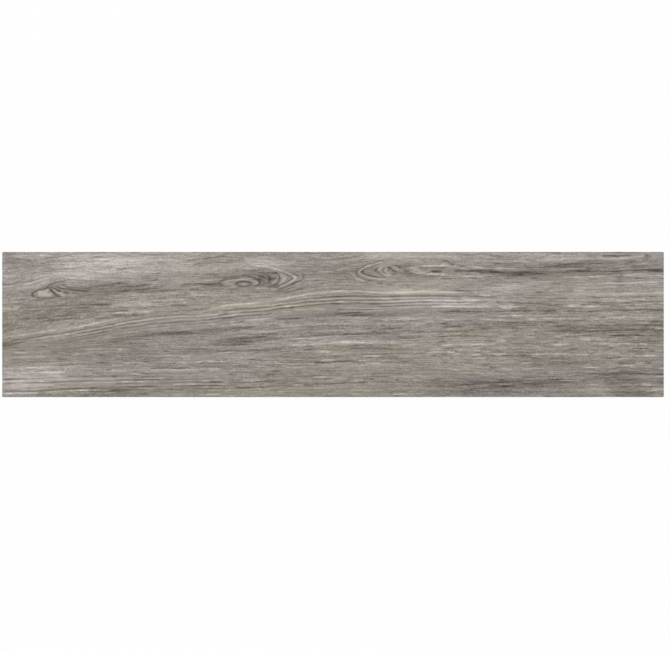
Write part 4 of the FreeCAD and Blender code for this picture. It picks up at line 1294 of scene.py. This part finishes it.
@dataclass(frozen=True)
class PrintedGlaze:
    """Matte glaze with the wood print under it. Tones are levels of 255, sizes in millimetres."""

    base_level: float = 146.2
    ink_gain: float = 1.32
    tone_gain: float = 1.32
    stops: tuple[tuple[float, float, float, float], ...] = (
        (40, 49, 41.4, 35),
        (70, 77, 68.4, 61),
        (100, 106, 98.4, 90),
        (120, 126, 118.4, 110),
        (142, 148, 140.4, 132.2),
        (160, 166, 158.4, 150),
        (180, 185.5, 178.4, 171),
        (215, 219, 213.4, 207),
    )
    streak_layers: tuple[tuple[float, float, float, float], ...] = (
        (90.0, 8.0, 1.0, 5.0),
        (220.0, 2.0, 0.0, 8.0),
        (60.0, 1.6, 0.0, 11.5),
        (22.0, 1.3, 0.0, 12.0),
        (8.5, 1.3, 0.0, 10.0),
        (1.9, 0.9, 0.0, 12.0),
        (14.0, 0.95, 0.0, 12.0),
        (3.4, 0.9, 0.0, 12.5),
    )
    layer_shift: tuple[float, float, float] = (3.1, 7.3, 1.7)
    calm_hold: float = 0.9
    mauve: Paint = (1.001, 0.993, 1.022, 1.0)
    olive: Paint = (1.006, 1.001, 0.96, 1.0)
    cloud_share: float = 0.2
    roughness: float = 0.5

    def ramp_stops(self) -> tuple:
        """Stops of the ramp that turns a level into the colour of the print at that level."""
        return tuple((level / 255.0, colour(red, green, blue)) for level, red, green, blue in self.stops)

    def level(self, shading: Shading, grain: Value) -> Value:
        """Level of the print: strokes, patches and fine streaks together.

        Args:
            shading: the material.
            grain: place along the grain and ring level across it, in millimetres, and share of calm.

        Returns:
            The level, from 0 to 255.
        """
        ink = shading.attribute("ink")
        tone = shading.attribute("tone")
        calm = shading.value("ShaderNodeSeparateXYZ", None, {0: grain}, output=2)
        streaks = 0.0
        for number, (length, width, detail, strength) in enumerate(self.streak_layers):
            shift = tuple(number * step for step in self.layer_shift)
            place = shading.stretched(grain, (1 / length, 1 / width, 0.0), shift)
            streaks = strength * shading.noise(place, detail) + streaks
        placed = self.base_level + self.ink_gain * ink + self.tone_gain * tone
        return placed + streaks * (1.0 - self.calm_hold * calm)

    def tint(self, shading: Shading, grain: Value, plain: Value) -> Value:
        """Shifts the colour a little, to mauve-grey on the cool grounds and to olive on the warm ones.

        Args:
            shading: the material.
            grain: place along the grain and ring level across it, in millimetres.
            plain: the colour before it.

        Returns:
            The shifted colour.
        """
        warmth = shading.attribute("warmth")
        cloud = shading.noise(shading.stretched(grain, (1 / 60, 1 / 22, 0.0), (5.0, 2.0, 9.0)), 1.0)
        share = (warmth + self.cloud_share * cloud).between(0.0, 1.0)
        grounds = shading.mix(share, self.mauve, self.olive)
        return shading.mix(1.0, plain, grounds, "MULTIPLY")


@dataclass(frozen=True)
class BareBiscuit:
    """Unglazed porcelain of the sides and the back, with kiln wash on the ribs."""

    pale: Paint = colour(193, 184, 169)
    dark: Paint = colour(172, 162, 147)
    speck: Paint = colour(118, 106, 93)
    wash: Paint = colour(226, 222, 213)
    engobe: Paint = colour(214, 208, 198)
    speck_share: float = 0.6
    wash_share: float = 0.8
    wash_height: float = 0.28
    roughness: float = 0.78

    def dress(self, shading: Shading, place: Value, height: Value) -> Value:
        """Colour of the bare body.

        Args:
            shading: the material.
            place: place on the tile, in millimetres.
            height: height above the back, in millimetres.

        Returns:
            The colour.
        """
        clouds = shading.noise(shading.stretched(place, (1 / 38, 1 / 24, 1 / 9)), 4.0, 0.6)
        body = shading.mix(clouds.between(-0.9, 0.9), self.dark, self.pale)
        specks = shading.noise(shading.stretched(place, (0.9, 0.9, 0.9)), 2.0).between(0.95, 1.25)
        body = shading.mix(self.speck_share * specks, body, self.speck)
        rollers = shading.noise(shading.stretched(place, (1 / 240, 1 / 3.2, 0.1), (0.0, 4.0, 0.0)), 3.0)
        worn = shading.noise(shading.stretched(place, (1 / 7, 1 / 7, 1 / 7)), 4.0, 0.65)
        patches = (0.55 * rollers + 0.6 * worn + 0.5).between(0.1, 0.8)
        washed = (self.wash_height - height).between(0.0, 0.2) * patches
        return shading.mix(self.wash_share * washed, body, self.wash)


@dataclass(frozen=True)
class TileFinish:
    """The whole finish of the tile: glaze down to the collar, a thin line of engobe, and biscuit below it."""

    glaze: PrintedGlaze = PrintedGlaze()
    biscuit: BareBiscuit = BareBiscuit()
    glaze_edge: float = 8.15
    edge_waver: float = 0.16
    edge_blur: float = 0.08
    engobe_height: float = 0.35
    satin_by_level: float = 0.0012
    satin_by_pore: float = 0.03
    deep_level: float = 40.0
    pore_depth: float = 0.35
    grit_depth: float = 0.9
    bump_strength: float = 0.35
    bump_distance: float = 0.00006

    def material(self) -> bpy.types.Material:
        """Makes the material.

        Returns:
            The finished material.
        """
        shading = Shading("tile_glaze_and_biscuit")
        grain = shading.attribute("grain", output=1)
        place = shading.value("ShaderNodeTexCoord", output=3)
        place = shading.stretched(place, (1 / MM, 1 / MM, 1 / MM))
        height = shading.value("ShaderNodeSeparateXYZ", None, {0: place}, output=2)

        level = self.glaze.level(shading, grain)
        printed = shading.value("ShaderNodeValToRGB", {"stops": self.glaze.ramp_stops()}, {0: level / 255.0})
        printed = self.glaze.tint(shading, grain, printed)

        run_off = shading.noise(shading.stretched(place, (1 / 14, 1 / 14, 0.0)), 3.0)
        below = self.glaze_edge - height + self.edge_waver * run_off
        bare = self.biscuit.dress(shading, place, height)
        past_line = (below - self.engobe_height).between(-self.edge_blur, self.edge_blur)
        lined = shading.mix(past_line, self.biscuit.engobe, bare)
        uncovered = below.between(-self.edge_blur, self.edge_blur)
        base = shading.mix(uncovered, printed, lined)

        pores = shading.noise(shading.stretched(grain, (1 / 5, 1 / 0.7, 0.0)), 2.0, 0.6)
        grit = shading.noise(shading.stretched(place, (2.2, 2.2, 2.2)), 3.0, 0.6)
        above = level - self.glaze.base_level
        satin = self.glaze.roughness - self.satin_by_level * above + self.satin_by_pore * pores
        rough = satin + uncovered * (self.biscuit.roughness - self.glaze.roughness)

        fine = above / self.deep_level + self.pore_depth * pores
        surface = fine - uncovered * (fine - self.grit_depth * grit)
        press = {"Strength": self.bump_strength, "Distance": self.bump_distance, "Height": surface}
        bump = shading.value("ShaderNodeBump", None, press)
        shader = shading.node(
            "ShaderNodeBsdfPrincipled",
            None,
            {"Base Color": base, "Roughness": rough, "Specular IOR Level": 0.4, "Normal": bump},
        )
        shading.node("ShaderNodeOutputMaterial", None, {"Surface": shader.outputs[0]})
        return shading.material


@dataclass(frozen=True)
class MapLayout:
    """Where the sides of the tile lie on its map: a start and a size in shares of the map."""

    margin: float = 0.003
    face: Point = (0.005, 0.705)
    back: Point = (0.725, 0.195)
    near_side: float = 0.948
    far_side: float = 0.93
    side_size: float = 0.014
    ends: Point = (0.97, 0.02)
    end_length: float = 0.45
    end_start: float = 0.01
    far_end: float = 0.5


@dataclass
class PlankTile:
    """The tile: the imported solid's shape, with its flat face made again as a pressed and printed grid.

    Sizes are in millimetres. The grid is finer where the knots and the cathedral grain lie.
    """

    length: float = 911.2
    width: float = 200.0
    thickness: float = 9.5
    arris: float = 0.8
    corner_radius: float = 1.5
    columns: int = 336
    rows: int = 240
    fine_zones: tuple[Point, ...] = ((34, 108), (294, 424), (484, 556))
    zone_gain: float = 2.1
    zone_edge: float = 8.0
    flat_border: float = 2.2
    # Painted shade along the rounded edge: its tone in levels of 255 and how far in it reaches, in
    # millimetres.
    edge_shade_tone: float = -5.0
    edge_shade_reach: float = 1.4
    crease_angle: float = 24.0
    pattern: Print = field(default_factory=Print)
    finish: TileFinish = field(default_factory=TileFinish)
    layout: MapLayout = MapLayout()

    @property
    def face_half(self) -> tuple[float, float]:
        """Half sizes of the flat face inside the arris."""
        return (self.length / 2 - self.arris, self.width / 2 - self.arris)

    def column_places(self) -> np.ndarray:
        """Places the grid's columns, closer together in the fine zones.

        Returns:
            Distances from the middle, in millimetres.
        """
        half = self.face_half[0]
        inner = half - (self.corner_radius - self.arris)
        ground = np.linspace(-inner, inner, 4000)
        density = np.ones_like(ground)
        from_left = ground + self.length / 2
        for start, end in self.fine_zones:
            into = smooth((from_left - start + self.zone_edge) / (2 * self.zone_edge))
            out_of = smooth((end + self.zone_edge - from_left) / (2 * self.zone_edge))
            density += self.zone_gain * into * out_of
        count = np.concatenate([[0.0], np.cumsum((density[1:] + density[:-1]) / 2)])
        inside = np.interp(np.linspace(0.0, count[-1], self.columns - 1), count, ground)
        return np.concatenate([[-half], inside, [half]])

    def row_places(self) -> np.ndarray:
        """Places the grid's rows.

        Returns:
            Distances from the middle, in millimetres.
        """
        half = self.face_half[1]
        inner = half - (self.corner_radius - self.arris)
        return np.concatenate([[-half], np.linspace(-inner, inner, self.rows - 1), [half]])

    def build(self) -> bpy.types.Object:
        """Builds the tile's mesh, with its print as attributes and its map, and dresses it.

        Returns:
            The finished piece.
        """
        form = bmesh.new()
        form.from_mesh(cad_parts[NODE].data)
        bmesh.ops.remove_doubles(form, verts=form.verts, dist=WELD)
        bmesh.ops.dissolve_limit(form, angle_limit=math.radians(0.2), verts=form.verts, edges=form.edges)
        self._cut_rim(form)
        self._lay_face(form)
        bmesh.ops.remove_doubles(form, verts=form.verts, dist=2 * WELD)
        self._close_corners(form)
        self._press(form)
        bmesh.ops.recalc_face_normals(form, faces=form.faces)
        mesh = bpy.data.meshes.new("pressed_tile")
        form.to_mesh(mesh)
        form.free()
        mesh.shade_smooth()
        mesh.set_sharp_from_angle(angle=math.radians(self.crease_angle))
        self._print(mesh)
        self._unfold(mesh)
        piece = bpy.data.objects.new("pressed_tile", mesh)
        bpy.context.scene.collection.objects.link(piece)
        mesh.materials.append(self.finish.material())
        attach(piece, "root")
        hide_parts(NODE)
        return piece

    def _cut_rim(self, form: bmesh.types.BMesh) -> None:
        """Takes the flat face out and cuts the arris round it at every column and row, so that the grid fits.

        Args:
            form: the tile's shape, changed in place.
        """
        top = self.thickness * MM
        foot = (self.thickness - self.arris) * MM
        flat = [f for f in form.faces if min(v.co.z for v in f.verts) > top - WELD]
        bmesh.ops.delete(form, geom=flat, context="FACES")
        rim = [f for f in form.faces if min(v.co.z for v in f.verts) > foot - 10 * WELD]
        half = self.face_half
        for axis, places in ((0, self.column_places()), (1, self.row_places())):
            normal = Vector((1, 0, 0)) if axis == 0 else Vector((0, 1, 0))
            limit = half[axis] * MM - 1e-3
            strips = [f for f in rim if f.is_valid and abs(f.calc_center_median()[axis]) < limit]
            rest = [f for f in rim if f.is_valid and f not in set(strips)]
            edges = list({e for f in strips for e in f.edges})
            geom = strips + edges + list({v for f in strips for v in f.verts})
            for place in places[1:-1]:
                cut = normal * float(place) * MM
                done = bmesh.ops.bisect_plane(form, geom=geom, dist=1e-7, plane_co=cut, plane_no=normal)
                geom = done["geom"]
            rim = rest + [g for g in geom if isinstance(g, bmesh.types.BMFace)]

    def _lay_face(self, form: bmesh.types.BMesh) -> None:
        """Lays the grid of the face at the height of the flat face, its corners left open.

        Args:
            form: the tile's shape, changed in place.
        """
        places = (self.column_places(), self.row_places())
        made = bmesh.ops.create_grid(form, x_segments=self.columns, y_segments=self.rows, size=1.0)
        for vert in made["verts"]:
            column = round((vert.co.x + 1) / 2 * self.columns)
            row = round((vert.co.y + 1) / 2 * self.rows)
            vert.co = (places[0][column] * MM, places[1][row] * MM, self.thickness * MM)
        half = self.face_half
        outer = [
            v for v in made["verts"]
            if abs(v.co.x) > half[0] * MM - WELD and abs(v.co.y) > half[1] * MM - WELD
        ]
        bmesh.ops.delete(form, geom=outer, context="VERTS")

    def _close_corners(self, form: bmesh.types.BMesh) -> None:
        """Closes the small gaps between the grid's cut corners and the round corners of the arris."""
        gaps = [e for e in form.edges if e.is_boundary]
        bmesh.ops.holes_fill(form, edges=gaps, sides=0)

    def _inset(self, x: np.ndarray, y: np.ndarray) -> np.ndarray:
        """How far each place lies from the nearest edge, in millimetres."""
        return np.minimum(np.minimum(x, self.length - x), np.minimum(y, self.width - y))

    def _press(self, form: bmesh.types.BMesh) -> None:
        """Presses the grain into the face, and leaves a level border inside the arris.

        Args:
            form: the tile's shape, changed in place.
        """
        top = self.thickness * MM
        face = [v for v in form.verts if v.co.z > top - 1e-7]
        x = np.array([v.co.x for v in face]) / MM + self.length / 2
        y = np.array([v.co.y for v in face]) / MM + self.width / 2
        depth = self.pattern.relief(x, y, self.pattern.ink(x, y))
        inset = self._inset(x, y) - self.arris
        depth = np.clip(depth, 0.0, None) * smooth(inset / self.flat_border)
        for vert, sink in zip(face, depth):
            vert.co.z -= float(sink) * MM

    def _print(self, mesh: bpy.types.Mesh) -> None:
        """Gives the mesh its print: strokes, soft tones, and place along and across the grain.

        Args:
            mesh: the finished mesh.
        """
        spots = np.zeros(len(mesh.vertices) * 3, np.float32)
        mesh.vertices.foreach_get("co", spots)
        spots = spots.reshape(-1, 3).astype(float)
        x = spots[:, 0] / MM + self.length / 2
        y = spots[:, 1] / MM + self.width / 2
        on_top = spots[:, 2] > (self.thickness - 2 * self.arris) * MM
        # Besides the strokes, the ink carries painted shade along the rounded edge.
        ink = np.where(on_top, self.pattern.ink(x, y), 0.0) + self._painted_edge_shade(x, y)
        tone = np.where(on_top, self.pattern.tone(x, y), 0.0)
        warmth = self.pattern.warmth(x, y)
        grain = np.stack([x, self.pattern.flow.rings_at(x, y), self.pattern.calm(x, y)], axis=1)
        for name, values in (("ink", ink), ("tone", tone), ("warmth", warmth)):
            layer = mesh.attributes.new(name, "FLOAT", "POINT")
            layer.data.foreach_set("value", values.astype(np.float32))
        layer = mesh.attributes.new("grain", "FLOAT_VECTOR", "POINT")
        layer.data.foreach_set("vector", grain.astype(np.float32).ravel())

    def _painted_edge_shade(self, x: np.ndarray, y: np.ndarray) -> np.ndarray:
        """Painted shade of the rounded edge: the print darkens towards each edge, standing in for the arris
        in shade.
        """
        return self.edge_shade_tone * (1 - smooth(self._inset(x, y) / self.edge_shade_reach))

    def _unfold(self, mesh: bpy.types.Mesh) -> None:
        """Lays the mesh out flat on its map: the face largest, then the back, then the four sides as strips.

        Args:
            mesh: the finished mesh.
        """
        spots = np.zeros(len(mesh.vertices) * 3, np.float32)
        mesh.vertices.foreach_get("co", spots)
        spots = spots.reshape(-1, 3).astype(float) / MM
        corner_vert = np.zeros(len(mesh.loops), np.int32)
        mesh.loops.foreach_get("vertex_index", corner_vert)
        normals = np.array([p.normal[:] for p in mesh.polygons])
        sizes = np.array([p.loop_total for p in mesh.polygons])
        normal = np.repeat(normals, sizes, axis=0)
        place = spots[corner_vert]
        u = (place[:, 0] + self.length / 2) / self.length
        across = (place[:, 1] + self.width / 2) / self.width
        rise = place[:, 2] / self.thickness
        centre_z = np.repeat([p.center[2] / MM for p in mesh.polygons], sizes)
        up = (normal[:, 2] > 0.5) & (centre_z > self.thickness / 2)
        down = (centre_z < 0.9) & (np.abs(normal[:, 2]) > 0.3) & ~up
        long_side = ~up & ~down & (np.abs(normal[:, 1]) >= np.abs(normal[:, 0]))
        end_side = ~up & ~down & ~long_side
        lay = self.layout
        v = np.where(up, lay.face[0] + lay.face[1] * across, 0.0)
        v = np.where(down, lay.back[0] + lay.back[1] * across, v)
        strip = np.where(normal[:, 1] > 0, lay.far_side, lay.near_side)
        v = np.where(long_side, strip + lay.side_size * rise, v)
        far = np.where(normal[:, 0] > 0, lay.far_end, 0.0)
        u = np.where(end_side, lay.end_start + far + lay.end_length * across, u)
        v = np.where(end_side, lay.ends[0] + lay.ends[1] * rise, v)
        u = lay.margin + (1.0 - 2 * lay.margin) * u
        layer = mesh.uv_layers.new(name="OFBake")
        layer.data.foreach_set("uv", np.stack([u, v], axis=1).astype(np.float32).ravel())


@dataclass
class Studio:
    """Pale floor, soft light and the camera above the tile. Sizes are in metres."""

    floor_size: float = 14.0
    floor_gap: float = 0.0002
    floor_level: float = 0.93
    background_share: float = 0.96
    world_strength: float = 0.62
    lamp_size: float = 3.2
    lamp_power: float = 62.0
    lamp_place: tuple[float, float, float] = (-1.9, 1.7, 2.6)
    camera_height: float = 6.0
    face_level: float = 9.0 * MM
    sensor_width: float = 36.0
    frame_width: float = 0.92271
    aim: tuple[float, float] = (0.00279, -0.00139)

    def build(self) -> None:
        """Sets the floor, the light and the camera."""
        self._lay_floor()
        self._light()
        self._set_camera()

    def _background(self, shading: Shading, plain: bpy.types.Node) -> None:
        """Ends a material with a plain white for what the camera and reflections see of it.

        Args:
            shading: the material or world.
            plain: the shader that everything else sees.
        """
        path = shading.node("ShaderNodeLightPath")
        seen = Value(shading, path.outputs["Is Camera Ray"]) + Value(shading, path.outputs["Is Glossy Ray"])
        seen = seen + Value(shading, path.outputs["Is Transmission Ray"])
        share = shading.maths("MINIMUM", seen, 1.0) * self.background_share
        white = shading.node("ShaderNodeEmission", None, {"Color": (1, 1, 1, 1), "Strength": 1.0})
        parts = {0: share, 1: plain.outputs[0], 2: white.outputs[0]}
        blend = shading.node("ShaderNodeMixShader", None, parts)
        shading.node("ShaderNodeOutputMaterial", None, {"Surface": blend.outputs[0]})

    def _lay_floor(self) -> None:
        """Lays the floor just under the tile."""
        form = bmesh.new()
        bmesh.ops.create_grid(form, x_segments=1, y_segments=1, size=self.floor_size / 2)
        mesh = bpy.data.meshes.new("studio_floor")
        form.to_mesh(mesh)
        form.free()
        mesh.transform(Matrix.Translation((0, 0, -self.floor_gap)))
        floor = bpy.data.objects.new("studio_floor", mesh)
        bpy.context.scene.collection.objects.link(floor)
        shading = Shading("studio_floor")
        paint = (self.floor_level, self.floor_level, self.floor_level, 1.0)
        diffuse = shading.node("ShaderNodeBsdfDiffuse", None, {"Color": paint, "Roughness": 0.0})
        self._background(shading, diffuse)
        mesh.materials.append(shading.material)

    def _light(self) -> None:
        """Lights the tile with an even white world and one large soft lamp."""
        world = bpy.data.worlds.new("studio_light")
        world.use_nodes = True
        background = world.node_tree.nodes["Background"]
        background.inputs["Color"].default_value = (1, 1, 1, 1)
        background.inputs["Strength"].default_value = self.world_strength
        bpy.context.scene.world = world
        lamp = bpy.data.lights.new("soft_lamp", "AREA")
        lamp.shape = "SQUARE"
        lamp.size = self.lamp_size
        lamp.energy = self.lamp_power
        holder = bpy.data.objects.new("soft_lamp", lamp)
        holder.location = self.lamp_place
        holder.rotation_euler = (-Vector(self.lamp_place)).to_track_quat("-Z", "Y").to_euler()
        bpy.context.scene.collection.objects.link(holder)

    def _set_camera(self) -> None:
        """Hangs the camera straight above the tile, as in the photograph."""
        lens = bpy.data.cameras.new("overhead_camera")
        lens.sensor_width = self.sensor_width
        lens.sensor_fit = "HORIZONTAL"
        lens.lens = lens.sensor_width * self.camera_height / self.frame_width
        lens.clip_end = 100.0
        camera = bpy.data.objects.new("overhead_camera", lens)
        camera.location = (self.aim[0], self.aim[1], self.camera_height + self.face_level)
        bpy.context.scene.collection.objects.link(camera)
        bpy.context.scene.camera = camera


def main() -> None:
    """Builds the tile and its studio."""
    logging.basicConfig(level=logging.INFO, format="%(name)s: %(message)s")
    piece = PlankTile().build()
    triangles = sum(p.loop_total - 2 for p in piece.data.polygons)
    log.info("%s: %d triangles", piece.name, triangles)
    Studio().build()
    bpy.context.scene.view_settings.view_transform = "Standard"


if __name__ == "__main__":
    main()
